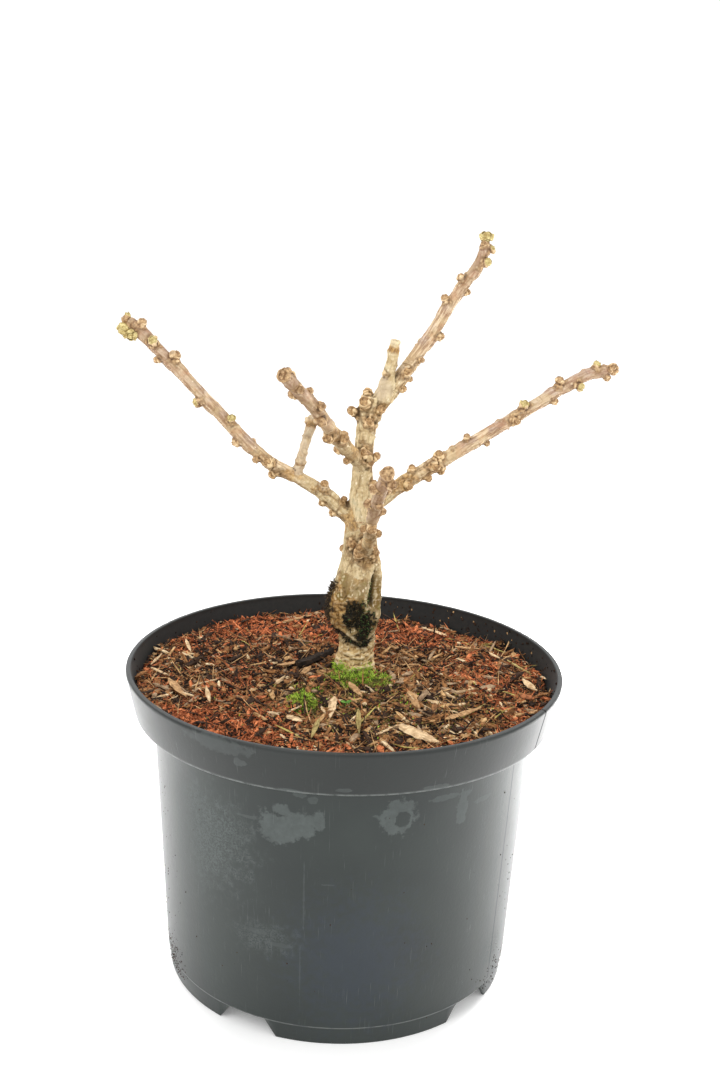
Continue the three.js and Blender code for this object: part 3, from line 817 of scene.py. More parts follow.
def shoot_material(name, depth):
    """Last year's wood: tan, brown streaks, a rosy grey bloom above and at the tip, painted highlights on its
    ridges and painted shade in its clefts and underneath; depth darkens it as painted shade.
    """
    made = Shader(name, roughness=0.6, specular=0.2)
    place, grain = made.place(), made.vectors("grain")
    streaks = made.noise(made.stretched(grain, (1, 1, 0.16)), 1.3, 4, 0.62)
    low = made.ramp(streaks, (
        (0.36, (226, 205, 174)), (0.48, (203, 175, 141)), (0.60, (150, 116, 86)), (0.74, (212, 186, 148)),
    ))
    high = made.ramp(streaks, (
        (0.36, (216, 199, 180)), (0.48, (190, 167, 147)), (0.60, (142, 114, 96)), (0.74, (200, 180, 158)),
    ))
    bloom = made.times("upper", made.between(made.noise(place, 9, 2), 0.4, 0.62))
    ruddy = made.between(made.noise(made.stretched(place, (1, 1, 1.3)), 7, 2), 0.56, 0.68)
    lines = made.between(made.noise(made.stretched(grain, (0.3, 0.3, 1)), 1.0, 3), 0.6, 0.7)
    made.colour(made.layers(
        made.mix(bloom, low, high),
        (made.between(made.noise(place, 12, 2), 0.5, 0.64), 0.4, (214, 194, 150)),
        (ruddy, 0.45, (184, 136, 98)),
        (made.between("young", 0.6, 1.0), 0.45, (150, 116, 102)),
        (made.between("young", 0.52, 0.4), 0.5, (206, 182, 140)),
        (lines, 0.4, (104, 74, 54)),
        (made.corky_dots(grain, 2.2, 0.18, 0.74), 1, (230, 214, 186)),
        # Painted highlight: the ridges are made pale
        (made.between("hollow", -0.2, -0.9), 0.4, (234, 218, 186)),
        # Painted shade over the whole shoot, as deep as its depth
        (depth, 1, (126, 92, 66)),
        ("knob", 0.8, made.spur_tone(place)),
        (made.shaded_spur_foot(), 0.4, (104, 78, 48)),
        # Painted shade: darker underneath and in the clefts
        ("under", 0.5, (126, 98, 72)),
        (made.between("hollow", 0.3, 1.1), 0.8, (84, 60, 40)),
    ))
    made.bump(made.plus(made.times(streaks, 0.6), made.noise(place, 0.6, 3)), 0.09)
    return made.material


def scale_material(name, pale, deep):
    """Bud scales: pale in the middle, dry brown at the edge and dark at the root with painted shade."""
    made = Shader(name, roughness=0.6, specular=0.3)
    place = made.place()
    made.colour(made.layers(
        made.mottled(place, 1.6, 4, 0.65, ((0.38, deep), (0.62, pale))),
        (made.between("rim", 0.8, 1.0), 0.2, (118, 90, 58)),
        # Painted shade at the root, where the scales meet
        (made.between("rim", 1.1, 1.5), 0.6, (82, 60, 38)),
    ))
    made.bump(made.noise(place, 0.4, 2), 0.05)
    return made.material


def litter_material(name, pale, deep, grain=3.0):
    """Shredded bark and wood: one base colour that varies from bit to bit."""
    made = Shader(name, roughness=0.88, specular=0.2)
    place = made.place()
    made.colour(made.mottled(place, grain, 3, 0.7, ((0.34, deep), (0.66, pale))))
    made.bump(made.noise(place, 0.5, 2), 0.08)
    return made.material


def flake_material(name, pale, deep):
    """A big flake of wood with brown lines along its grain."""
    made = Shader(name, roughness=0.85, specular=0.2)
    lines = made.noise(made.stretched(made.vectors("grain"), (0.12, 1.4, 1)), 1.2, 4, 0.7)
    made.colour(made.layers(
        made.mottled(made.place(), 3, 3, 0.7, ((0.34, deep), (0.66, pale))),
        (made.between(lines, 0.5, 0.62), 0.6, dimmed(deep, 0.42)),
    ))
    made.bump(lines, 0.2)
    return made.material


def moss_material(name):
    return leaf_material(name, *MOSS_COLOURS[name])


def leaf_material(name, pale, deep, grain=2.5):
    """Leaves whose green varies from place to place."""
    made = Shader(name, roughness=0.7, specular=0.25)
    made.colour(made.mottled(made.place(), grain, 3, 0.7, ((0.35, deep), (0.65, pale))))
    return made.material


def oval(made, where, azimuth, level, wide, tall, ragged):
    """Distance from an oval's middle in its own size, its edge made uneven."""
    angle, height, edge = where
    across = made.math("DIVIDE", made.math("SUBTRACT", angle, azimuth), wide)
    along = made.math("DIVIDE", made.math("SUBTRACT", height, level), tall)
    square = made.plus(made.times(across, across), made.times(along, along))
    return made.plus(made.math("SQRT", square), made.times(made.math("SUBTRACT", edge, 0.5), ragged))


def spots(made, where, rows, ragged, outer, inner):
    """Oval spots on the pot, the strongest at each point."""
    found = []
    for azimuth, level, wide, tall, strength in rows:
        away = oval(made, where, azimuth, level, wide, tall, ragged)
        found.append(made.times(made.between(away, outer, inner), strength))
    return made.most(found)


def pot_marks(made, place, where):
    """The water marks, one of them with a clear middle, and the dust."""
    marks = spots(made, where, SMUDGES, 1.7, 1.06, 0.78)
    marks = made.times(marks, made.between(oval(made, where, 17.5, 127, 2.4, 4.2, 1.6), 0.85, 1.1))
    marks = made.times(marks, made.plus(0.1, made.times(made.noise(place, 5, 5, 0.75), 1.6)))
    grains = made.between(made.noise(place, 1.0, 4, 0.8), 0.45, 0.55)
    return made.most([marks, made.times(spots(made, where, DUST, 2.2, 1.2, 0.2), grains)])


def pot_seam(made, angle, height):
    """The mould's two seams, painted dark as the shade of their step, fainter below the band and gone inside
    and at the foot.
    """
    lines = [made.between(made.away(angle, away_from(azimuth, -90)), 0.5, 0.2) for azimuth in SEAMS]
    seam = made.times(made.most(lines), made.plus(0.3, made.between(height, 146, 148)))
    seam = made.times(seam, made.between("inside", 0.6, 0.4))
    return made.times(made.times(seam, made.between(height, 11, 12)), 0.75)


def pot_material():
    """Dark green grey plastic with a soft sheen, dried water marks, dust and fine upright scratches, a
    painted bluish reflection low on its front, painted highlights along the band's edge and the foot's step,
    and seams painted dark as shade.
    """
    made = Shader("nursery_plastic", specular=0.5)
    made.surface.inputs["Sheen Weight"].default_value = 0.1
    made.surface.inputs["Sheen Roughness"].default_value = 0.35
    place = made.place()
    x, y, z = made.node("SeparateXYZ", Vector=place).outputs
    angle = made.times(made.math("ARCTAN2", x, made.times(y, -1.0)), 180 / math.pi)
    height, edge = made.times(z, 1 / MM), made.noise(place, 4, 4, 0.6)
    where = angle, height, edge
    marks, seam = pot_marks(made, place, where), pot_seam(made, angle, height)
    turn = made.node("CombineXYZ", X=made.times(angle, 1.6 * MM), Y=made.times(z, 0.025))
    scratch = made.between(made.noise(turn.outputs[0], 0.5, 2, 0.6), 0.63, 0.74)
    scratch = made.times(scratch, made.between(made.noise(place, 16, 2), 0.42, 0.6))
    tone = made.layers(
        made.ramp(made.noise(place, 40, 3), ((0.35, (22, 31, 29)), (0.65, (30, 39, 36)))),
        (made.between(height, BAND["height"], BAND["height"] + 1), 0.6, (8, 11, 9)),
        # Painted reflection: a bluish patch low on the front
        (made.between(oval(made, where, 6, 48, 24, 44, 2.0), 1.2, 0.1), 0.5, (30, 40, 56)),
        (marks, 0.34, (118, 126, 124)),
        (scratch, 0.26, (120, 126, 124)),
        # Painted highlights: pale lines along the band's lower edge and the foot's step
        (painted_edge_highlight(made, where, BAND["height"] + 0.5, 0.9), 0.3, (150, 156, 152)),
        (painted_edge_highlight(made, where, FOOT["height"] - 0.2, 0.5), 0.3, (150, 156, 152)),
        # Painted shade: the seams are dark lines
        (seam, 1, (8, 10, 10)),
    )
    soiled = made.mottled(place, 3, 5, 0.75, ((0.4, (15, 18, 17)), (0.62, (27, 28, 26))))
    made.colour(made.mix("inside", tone, soiled))
    rough = made.plus(0.3, made.times(marks, 0.3))
    for share, strength in (("inside", 0.25), (seam, 0.6), (edge, 0.08)):
        rough = made.plus(rough, made.times(share, strength))
    made.feed(made.surface.inputs["Roughness"], rough)
    made.bump(made.plus(made.noise(place, 1.6, 2), made.times(scratch, -0.6)), 0.04)
    return made.material


def painted_edge_highlight(made, where, level, wide):
    """A pale line at one height: a painted highlight along an edge."""
    angle, height, edge = where
    return made.times(made.between(made.away(height, level), wide, wide * 0.4), made.between(edge, 0.3, 0.6))


# The woody frame

class Line:
    """A limb's course: a place every millimetre or so."""

    def __init__(self, start, length, azimuth, climb, **_):
        steps = round(length)
        turns = [(step + 0.5) / steps for step in range(steps)]
        moves = [heading(through(azimuth, t), through(climb, t)) * length / steps for t in turns]
        self.places = np.vstack([start, start + np.cumsum(moves, axis=0)])
        self.length = length

    def at(self, along):
        place = min(max(along / self.length, 0), 1) * (len(self.places) - 1)
        low = min(int(place), len(self.places) - 2)
        direction = unit(self.places[low + 1] - self.places[low])
        return self.places[low] + (self.places[low + 1] - self.places[low]) * (place - low), direction


def trunk_at(up):
    lean, radius = (np.interp(up, TRUNK[:, 0], TRUNK[:, k]) for k in (1, 2))
    return CUT + np.array((lean, 0, up)), radius


def limb_lines(limb):
    bough = Line(trunk_at(limb["from"])[0], **limb["bough"])
    return bough, Line(bough.places[-1], **limb["shoot"])


def limb_radius(limb, along):
    bough, total = limb["bough"]["length"], limb["bough"]["length"] + limb["shoot"]["length"]
    return np.interp(along, (0, bough, total), limb["radii"])


def snag_line(snag):
    start = limb_lines(LIMBS[snag["on"]])[0].at(snag["at"])[0]
    return Line(start, snag["length"], snag["azimuth"], snag["climb"])


class Samples:
    """Marks along every centre line, so that a point of the skin can find its place on the tree.

    The age is 0 on the trunk, OLD on the boughs, DEAD on the snags and more on the shoots. The place along
    the first limb counts from one LIMB_CODE, along the next from two, and on the snags from SNAG_CODE.
    """

    def __init__(self):
        self.rows = []

    def add(self, place, direction, along, age):
        up, right = frame_of(direction)
        self.rows.append((*place, *direction, *up, *right, along, age))

    def nearest(self, points):
        rows = np.array(self.rows)
        found = np.empty(len(points), int)
        for start in range(0, len(points), 4000):
            block = points[start:start + 4000]
            gaps = ((block[:, None, :] - rows[None, :, :3]) ** 2).sum(2)
            found[start:start + 4000] = gaps.argmin(1)
        rows = rows[found]
        offset = points - rows[:, :3]
        along = rows[:, 12] + (offset * rows[:, 3:6]).sum(1)
        around = np.stack([(offset * rows[:, 6:9]).sum(1), (offset * rows[:, 9:12]).sum(1)], 1)
        return {"along": along, "around": around, "age": rows[:, 13]}


class Spur:
    """A short side shoot: its root on a centre line, its directions, the wood over its root, its size."""

    def __init__(self, place, course, outwards, cover, out, radius):
        self.place, self.course, self.outwards = place, course, outwards
        self.direction = unit(outwards + course * math.tan(math.radians(SPUR["lean"])))
        self.cover, self.out, self.radius = cover, out, radius

    def on_axis(self, reach):
        return self.place + self.direction * reach

    def stub_top(self):
        return self.cover + SPUR["stub"] * self.out


def spur_on(line, along, turn, cover, out, radius):
    place, course = line.at(along)
    up, right = frame_of(course)
    c, s = turned(turn)
    return Spur(place, course, up * c + right * s, cover, out, radius)


def smooth_stations(line, offset, limb, start=0.0):
    places = np.arange(start, line.length + 0.01, SAMPLE_STEP)
    return [(*line.at(along), limb_radius(limb, offset + along)) for along in places]


def slit_azimuth(up):
    """The open wound leans to the right as it climbs and wavers a little."""
    climb = up - (WOUND["low"] + WOUND["high"]) / 2
    return WOUND["azimuth"] + WOUND["slant"] * climb + 1.6 * np.sin(up / 2.6)


def ledge_height(angles):
    """The graft's lower edge, lowest at the front and climbing to both sides."""
    return LEDGE["lowest"] + LEDGE["rise"] * np.abs(away_from(angles, LEDGE["azimuth"]))


def near_azimuth(angles, azimuth, wide):
    return np.exp(-((away_from(angles, azimuth) / wide) ** 2))


def trunk_rings():
    """The trunk's skin: lean, flare, the graft's swelling with its lower edge, callus ribs, open wound."""
    angles = np.arange(0, 360, 2.5)
    c, s = np.cos(np.radians(angles)), np.sin(np.radians(angles))
    rings = []
    for up in np.arange(0, TRUNK[-1, 0] + 0.1, 0.75):
        place, radius = trunk_at(up)
        around = radius + math.exp(-up / 4.0) * (0.8 + 0.9 * np.cos(np.radians(3 * angles + 40)))
        for azimuth, low, high, out, wide in TRUNK_RIBS:
            along = faded(up, low - 4, low + 4) * (1 - faded(up, high - 5, high + 5))
            around += out * along * near_azimuth(angles, azimuth, wide)
        along = faded(up, WOUND["low"], WOUND["low"] + 6) * (1 - faded(up, WOUND["high"] - 6, WOUND["high"]))
        around -= WOUND["deep"] * along * near_azimuth(angles, slit_azimuth(up), WOUND["wide"])
        above = up - ledge_height(angles)
        edge = faded(above, -0.8, 1.2) * (1 - faded(above, 4, 16))
        around += LEDGE["out"] * (edge - 0.35 * np.exp(-((above + 1) / 1.6) ** 2))
        level = np.full(len(angles), place[2])
        rings.append(np.stack([place[0] + around * c, place[1] + around * s, level], 1))
    return rings


def add_knob(parts, knobs, spur, random):
    """A spur's stub: a waist over a wide foot, a ringed head with lobes round it, scars at its foot."""
    top = spur.stub_top()
    reaches = np.linspace(0.3 * spur.cover, top, 12)
    places = (reaches - spur.cover) / (top - spur.cover)
    sizes = np.interp(places, (-1, 0, 0.35, 0.75, 1), (1.2, 1.1, 0.74, 1.0, 0.8))
    sizes *= 1 + 0.03 * np.cos(reaches * 2 * math.pi / 0.9)
    stations = [(spur.on_axis(r), spur.direction, spur.radius * k) for r, k in zip(reaches, sizes)]
    parts.add(*tube(stations, 14))
    up, right = frame_of(spur.direction)
    lobes = random.integers(2, 5)
    for k in range(lobes):
        c, s = turned(360 * k / lobes + random.uniform(-40, 40))
        size = spur.radius * random.uniform(0.4, 0.68)
        centre = spur.on_axis(top - spur.radius * random.uniform(-0.2, 0.9))
        centre = centre + (up * c + right * s) * spur.radius * random.uniform(0.5, 0.9)
        parts.add(*ball(centre, spur.direction, size, size * random.uniform(0.8, 1.3)))
    add_crust(parts, spur, random)
    knobs.append((spur.on_axis(top - 0.3 * spur.radius), spur.radius * 1.3))


def add_crust(parts, spur, random):
    """Small old scars crowded on the limb round a spur's foot."""
    side = np.cross(spur.course, spur.outwards)
    for _ in range(random.integers(1, 5)):
        c, s = turned(random.uniform(0, 360))
        far = spur.radius * random.uniform(1.0, 1.7)
        across = np.clip(far * s, -0.95 * spur.cover, 0.95 * spur.cover)
        height = math.sqrt(spur.cover**2 - across**2)
        size = random.uniform(0.55, 1.15)
        centre = spur.place + spur.course * far * c + side * across + spur.outwards * (height - 0.1)
        parts.add(*ball(centre, spur.outwards, size, size * 0.7, 8, 5))


def add_swelling(parts, spur):
    """The limb thickens on its spur's side, most just under the spur, and runs out towards the trunk."""
    centre = spur.place - spur.course * spur.radius * 1.2 + spur.outwards * (spur.cover - spur.radius * 0.62)
    parts.add(*ball(centre, spur.course, spur.radius * 0.98, spur.radius * 2.8))


def add_collar(parts, limb, bough):
    """The swollen base that a bough grows from."""
    cover = trunk_at(limb["from"])[1]
    for reach, size in ((cover * 0.7, 1.35), (cover * 0.95, 1.2), (cover * 1.2, 1.08)):
        place, direction = bough.at(reach)
        parts.add(*ball(place, direction, limb["radii"][0] * size, 3.2))


def limb_spurs(limb, line, offset, size, random):
    """Each spur along one stretch of a limb, with its place."""
    shares = size * limb.get("knobs", 1) * random.uniform(0.78, 1.15, len(limb["spurs"]))
    for (along, turn), share in zip(limb["spurs"], shares):
        if offset < along < offset + line.length:
            share *= green_size(limb, along) ** 0.5
            cover = limb_radius(limb, along)
            spur = spur_on(line, along - offset, turn, cover, SPUR["out"] * share, SPUR["radius"] * share)
            yield along, spur


def add_limb_samples(samples, limb, index):
    bough, shoot = limb_lines(limb)
    code = LIMB_CODE * (index + 1)
    for along in np.arange(0, bough.length, SAMPLE_STEP):
        samples.add(*bough.at(along), along + code, OLD)
    for along in np.arange(0, shoot.length, SAMPLE_STEP):
        age = 0.4 + 0.6 * along / shoot.length
        samples.add(*shoot.at(along), along + bough.length + code, age)


def spur_bud(spur, kind, size):
    """A spur's bud: its root, axis, radius, length and colour."""
    radius = 0.78 * spur.radius * size**0.6
    length = (1 - SPUR["stub"]) * spur.out + 0.35 * spur.radius + 0.9 * size
    return spur.on_axis(spur.stub_top() - 0.4 * spur.radius), spur.direction, radius, length, kind


def add_left_cluster(parts, knobs, shoot):
    """The left tip's crowd of opening buds, each on a lump of the shoot's end."""
    found = []
    for bud in LEFT_CLUSTER:
        place = shoot.at(shoot.length - bud["back"])[0]
        axis = heading(bud["azimuth"], bud["climb"])
        root = place + axis * 2.2
        parts.add(*ball(place + axis * 1.6, axis, bud["radius"] * 0.85, 2.2))
        knobs.append((root, bud["radius"]))
        found.append((root, axis, bud["radius"], bud["length"], "green"))
    return found


def add_snag(parts, samples, knobs, snag, index):
    """A dead stub with a collar and a cup in its end; gives the place and size of its brown band."""
    host, line = LIMBS[snag["on"]], snag_line(snag)
    random = np.random.default_rng(70 + index)
    for along in np.arange(0, line.length, SAMPLE_STEP):
        samples.add(*line.at(along), along + SNAG_CODE + LIMB_CODE * index, DEAD)
    collar = limb_radius(host, snag["at"]) + snag["collar"]
    places = np.arange(0, line.length + 0.01, SAMPLE_STEP)
    swell = 1 + snag["swell"] * (1 - faded(places, collar * 0.55, collar)) + 0.06 * np.sin(places * 0.8)
    stations = [(*line.at(along), through(snag["radii"], along / line.length) * size)
                for along, size in zip(places, swell)]
    end, direction = line.at(line.length)
    lip = snag["radii"][-1]
    for out, size in ((0.4, 1.14), (1.3, 1.0), (1.7, 0.8), (1.1, 0.62), (0.8, 0.3)):
        stations.append((end + direction * out, direction, lip * size))
    parts.add(*tube(stations, 18))
    for along, turn, size in snag["spurs"]:
        cover = through(snag["radii"], along / line.length)
        add_knob(parts, knobs, spur_on(line, along, turn, cover, 1.6 * size, 1.6 * size), random)
    return end - direction * 3.4, lip * 1.5


def green_size(limb, along):
    """How large the open bud of a spur is, 1 if it is closed."""
    return limb.get("green", {}).get(along, 1)


def add_limb(name, limb, frame_parts, knobs, buds, random):
    """A bough, joined to the trunk, and its shoot, which is given back, with their spurs and buds."""
    bough, shoot = limb_lines(limb)
    frame_parts.add(*tube(smooth_stations(bough, 0, limb), 20))
    add_collar(frame_parts, limb, bough)
    parts = Parts()
    end, direction = bough.at(bough.length)
    start = [(end - direction * 2, direction, limb_radius(limb, bough.length) * 0.97)]
    parts.add(*tube(start + smooth_stations(shoot, bough.length, limb, 0.2), 20))
    for stretch, line, offset, size in ((frame_parts, bough, 0, 1.12), (parts, shoot, bough.length, 1.1)):
        for along, spur in limb_spurs(limb, line, offset, size, random):
            add_knob(stretch, knobs, spur, random)
            add_swelling(stretch, spur)
            closed = "brown" if offset == 0 else "ochre"
            kind = "green" if along in limb.get("green", ()) else closed
            buds.append(spur_bud(spur, kind, green_size(limb, along)))
    end, direction = shoot.at(shoot.length)
    parts.add(*ball(end, direction, limb["radii"][-1] * 1.05, 2.6))
    size = 0.75 if name == "left" else 0.95
    radius, length = TIP_BUD["radius"] * size, TIP_BUD["length"] * size
    buds.append((end + direction * 1.2, direction, radius, length, limb.get("tip", "ochre")))
    if name == "left":
        buds.extend(add_left_cluster(parts, knobs, shoot))
    return parts


def wood_parts():
    """The trunk with its boughs and snags, then each shoot, as shapes to be joined."""
    frame_parts, samples, knobs, buds = Parts(), Samples(), [], []
    random = np.random.default_rng(5)
    frame_parts.add(*skin(trunk_rings()))
    for up in np.arange(0, TRUNK[-1, 0], SAMPLE_STEP):
        samples.add(trunk_at(up)[0], np.array((0.02, 0, 0.9998)), up, 0)
    for up, azimuth, out, radius in TRUNK_SPURS:
        place, cover = trunk_at(up)
        spur = Spur(place, np.array((0, 0, 1.0)), heading(azimuth, 0), cover, out, radius)
        add_knob(frame_parts, knobs, spur, random)
        buds.append(spur_bud(spur, "brown", 1))
    for index, limb in enumerate(LIMBS.values()):
        add_limb_samples(samples, limb, index)
    shoots = {name: add_limb(name, limb, frame_parts, knobs, buds, random) for name, limb in LIMBS.items()}
    cut_ends = [add_snag(frame_parts, samples, knobs, snag, index)
                for index, snag in enumerate(SNAGS.values())]
    return frame_parts, shoots, samples, knobs, buds, cut_ends


# Bark

def on_trunk(found):
    return (found["age"] == 0).astype(float)


def on_left_snag(found):
    """The left snag is the first of the two in the samples."""
    return ((found["age"] == DEAD) & (found["along"] < SNAG_CODE + LIMB_CODE - 10)).astype(float)


def on_bough(found, index):
    return (found["age"] == OLD) & (found["along"] // LIMB_CODE == index + 1)


def trunk_turn(points):
    return np.degrees(np.arctan2(points[:, 1] - CUT[1], points[:, 0] - CUT[0]))


def area(turn, up, azimuth, height, wide, tall, ragged=0.0):
    """1 inside an oval on the trunk and 0 outside it."""
    return 1 - faded(np.hypot(away_from(turn, azimuth) / wide, (up - height) / tall) + ragged, 0.7, 1.1)


def stretched_round(found, along_size, round_size):
    """Coordinates along and round a limb, measured in lumps of the sizes given."""
    return np.column_stack([found["along"] / along_size, found["around"] / round_size])


def flaking(points, found):
    """1 at the trunk's base, where the bark flakes, and 0 away from it."""
    return on_trunk(found) * (1 - faded(points[:, 2] - CUT[2], 15, 26))


def trunk_roughness(points, found):
    """Flaking plates at the trunk's base and knobbly bark on the left of the graft."""
    up, turn = points[:, 2] - CUT[2], trunk_turn(points)
    old = on_trunk(found)
    plates = np.tanh(3.2 * layered(stretched_round(found, 2.6, 5.6), 1, 2, 51))
    plates += 0.6 * np.tanh(3 * layered(stretched_round(found, 1.3, 2.6), 1, 2, 59))
    base = 1 - faded(up, 15, 26)
    knobbly = 7 * np.abs(noise(points, 4.2, 53)) + 3.5 * np.abs(noise(points, 2.0, 54)) - 1.8
    left = area(turn, up, *KNOBBLY)
    whole = layered(stretched_round(found, 5.0, 2.4), 1, 3, 57)
    return old * (2.0 * base * plates + left * knobbly + 0.8 * whole)


def ring_scars(found, points):
    """Close uneven rings where one year's growth ended."""
    total = np.zeros(len(points))
    uneven = 1.5 * noise(points, 2.4, 55)
    for index, limb in enumerate(LIMBS.values()):
        for place, size in ((limb["bough"]["length"], 0.22), (limb["bough"]["length"] * 0.55, 0.1)):
            away = found["along"] - LIMB_CODE * (index + 1) - place
            rings = np.sin((away + uneven) * 2 * math.pi / 1.7) * (0.6 + 0.5 * noise(points, 2, 58))
            total += size * np.exp(-((away / 2.8) ** 2)) * (0.7 + rings)
    return total


def knobness(points, knobs):
    near = np.zeros(len(points))
    uneven = 1 + 0.4 * layered(points, 2.4, 2, 43)
    for centre, size in knobs:
        gap = np.linalg.norm(points - centre, axis=1) * uneven
        near = np.maximum(near, 1 - faded(gap, size * 0.8, size * 1.9))
    return near


def relief(data, samples, knobs, rough):
    """Carves the bark: lengthwise ridges, cross wrinkles, lumps, clefts in the spurs, growth rings' scars."""
    points, normals = points_of(data), normals_of(data)
    found = samples.nearest(points)
    ridges = layered(stretched_round(found, 8.0, 1.2), 1, 2, 3)
    wrinkles = noise(stretched_round(found, 0.8, 4.0), 1, 9)
    lumps = layered(points, 5, 3, 21)
    fine = 0.09 * rough * ridges + 0.07 * wrinkles + 0.05 * noise(points, 0.9, 33)
    depth = 0.3 * rough * lumps + fine * (1 - 0.8 * flaking(points, found))
    depth += ring_scars(found, points) + 0.2 * trunk_roughness(points, found)
    near_knob = knobness(points, knobs)
    clefts = np.exp(-((noise(points, 2.0, 42) / 0.14) ** 2))
    depth += near_knob * (0.3 * layered(points, 2.3, 2, 41) - 0.08 * clefts)
    move_to(data, points + normals * depth[:, None])
    # hollow, deep and under lead the materials to paint shade in clefts and underneath, and highlights on
    # ridges
    keep(data, "hollow", hollows(data, 3, 0, 0.11))
    keep(data, "deep", hollows(data, 14, 0.06, 0.3))
    keep(data, "under", 1 - faded(normals_of(data)[:, 2], -0.9, -0.05))
    keep(data, "knob", near_knob)
    keep_vectors(data, "grain", np.column_stack([found["around"], found["along"]]))
    return found


def grey_places():
    """Weathered spots: the top snag's foot and end, the leader's last ring, a spur on the left bough."""
    leader, left = limb_lines(LIMBS["leader"])[0], limb_lines(LIMBS["left"])[0]
    foot = leader.at(SNAGS["top_snag"]["at"] - 2)[0] + heading(-90, 66) * 9
    spur = left.at(25)[0] + heading(-90, 80) * 6
    return (foot, 6), (snag_line(SNAGS["top_snag"]).places[-1], 2.6), (leader.places[-1], 6), (spur, 3)


def rosiness(found):
    """How far old wood takes on the young wood's tint: towards a bough's end and along the left snag."""
    rosy = on_left_snag(found)
    for index, limb in enumerate(LIMBS.values()):
        share = (found["along"] - LIMB_CODE * (index + 1)) / limb["bough"]["length"]
        rosy = np.maximum(rosy, on_bough(found, index) * faded(share, 0.5, 1.02) * 0.95)
    return rosy


def wound_darkness(points, found):
    """Where the trunk is dark: wet on the graft's sore front and its left side, wet with painted shade in the
    slit, and painted shade in the crevice under its edge.
    """
    up, turn = points[:, 2] - CUT[2], trunk_turn(points)
    ragged, torn = 0.35 * layered(points, 3, 2, 61), 0.7 * layered(points, 3.0, 3, 67)
    # The slit: wet wood, with painted shade in its opening
    slit = 1 - faded(np.abs(away_from(turn, slit_azimuth(up))), 6, 10)
    slit *= faded(up, WOUND["low"], WOUND["low"] + 5) * (1 - faded(up, WOUND["high"] - 6, WOUND["high"] - 1))
    sore = np.maximum.reduce([area(turn, up, *oval, share * torn) for *oval, share in SORES])
    left = area(turn, up, *DARK_SIDE, 1.1 * ragged)
    # Painted shade: a dark line in the crevice under the graft's edge
    under = 1 - faded(np.abs(up - ledge_height(turn) + 1.0 + 4 * ragged), 0.8, 3.0)
    under *= area(turn, up, *UNDER_LEDGE)
    most = np.maximum.reduce([0.8 * slit, 0.95 * sore, 0.75 * left, 0.85 * under])
    return np.clip(most, 0, 1) * on_trunk(found)


def rustiness(points, found, cut_ends):
    """Where wood is orange: the knobbly graft, the right bough, the snags' ends, the left snag's rings."""
    up, turn = points[:, 2] - CUT[2], trunk_turn(points)
    ragged = 0.35 * layered(points, 3, 2, 61)
    cluster = 0.6 * area(turn, up, *RUSTY_SPURS, ragged)
    rust = np.maximum(0.72 * area(turn, up, *RUSTY_SIDE, 1.4 * ragged), cluster) * on_trunk(found)
    right = on_bough(found, RIGHT)
    patches = np.clip(0.55 * right - 0.1 + 1.5 * layered(points, 6, 2, 65), 0, 0.65)
    rust = np.maximum(rust, (found["age"] == OLD) * patches)
    for centre, size in cut_ends:
        gap = np.linalg.norm(points - centre, axis=1)
        rust = np.maximum(rust, 0.9 - 0.9 * faded(gap, size * 0.7, size))
    along = found["along"] - SNAG_CODE + 5 * ragged
    knots = sum(size * np.exp(-(((along - place) / 1.0) ** 2)) for place, size in SNAG_KNOTS)
    return np.maximum(rust, on_left_snag(found) * np.clip(knots, 0, 0.8))


def add_stains(data, found, cut_ends):
    """Where the bark is dark and wet, orange, grimy, flaky, rosy or weathered grey."""
    points = points_of(data)
    up, old, stub = points[:, 2] - CUT[2], on_trunk(found), on_left_snag(found)
    ragged = 0.35 * layered(points, 3, 2, 61)
    blotches = faded(layered(points, 3.2, 2, 68), 0.15, 0.4)
    keep(data, "dark", wound_darkness(points, found) + stub * (0.08 + 0.2 * blotches))
    rust = rustiness(points, found, cut_ends)
    keep(data, "rust", rust)
    grey = 0.9 * stub * (1 - rust)
    for centre, size in grey_places():
        gap = np.linalg.norm(points - centre, axis=1) + 3 * ragged
        grey = np.maximum(grey, 1 - faded(gap, size * 0.7, size * 1.2))
    keep(data, "grey", grey)
    grime = np.exp(-(((up - 38) / 19) ** 2)) * (1.02 + 0.75 * layered(points, 6, 2, 63))
    keep(data, "grime", np.clip(grime, 0, 1) * old)
    keep(data, "flaky", old * (1 - faded(up + 6 * ragged, 14, 20)))
    keep(data, "rosy", rosiness(found))


def make_wood():
    frame_parts, shoots, samples, knobs, buds, cut_ends = wood_parts()
    bark = bark_material()
    voxel = VOXEL
    data = fused(frame_parts, voxel, 2)
    found = relief(data, samples, knobs, 1.0)
    add_stains(data, found, cut_ends)
    names = ["trunk", *(f"{name}_bough" for name in LIMBS), *SNAGS]
    trunk = piece("trunk_and_boughs", data, [bark], *names, slot="bark")
    for name, parts in shoots.items():
        data = fused(parts, voxel * SHOOT_VOXEL, 2)
        found = relief(data, samples, knobs, 0.5)
        keep(data, "young", np.clip(found["age"], 0, 1))
        keep(data, "upper", faded(normals_of(data)[:, 2], -0.3, 0.6))
        made = shoot_material(f"{name}_young_bark", SHOOT_DEPTHS[name])
        piece(f"{name}_young_shoot", data, [made], f"{name}_shoot", slot="shoot")
    return trunk, buds


# Buds

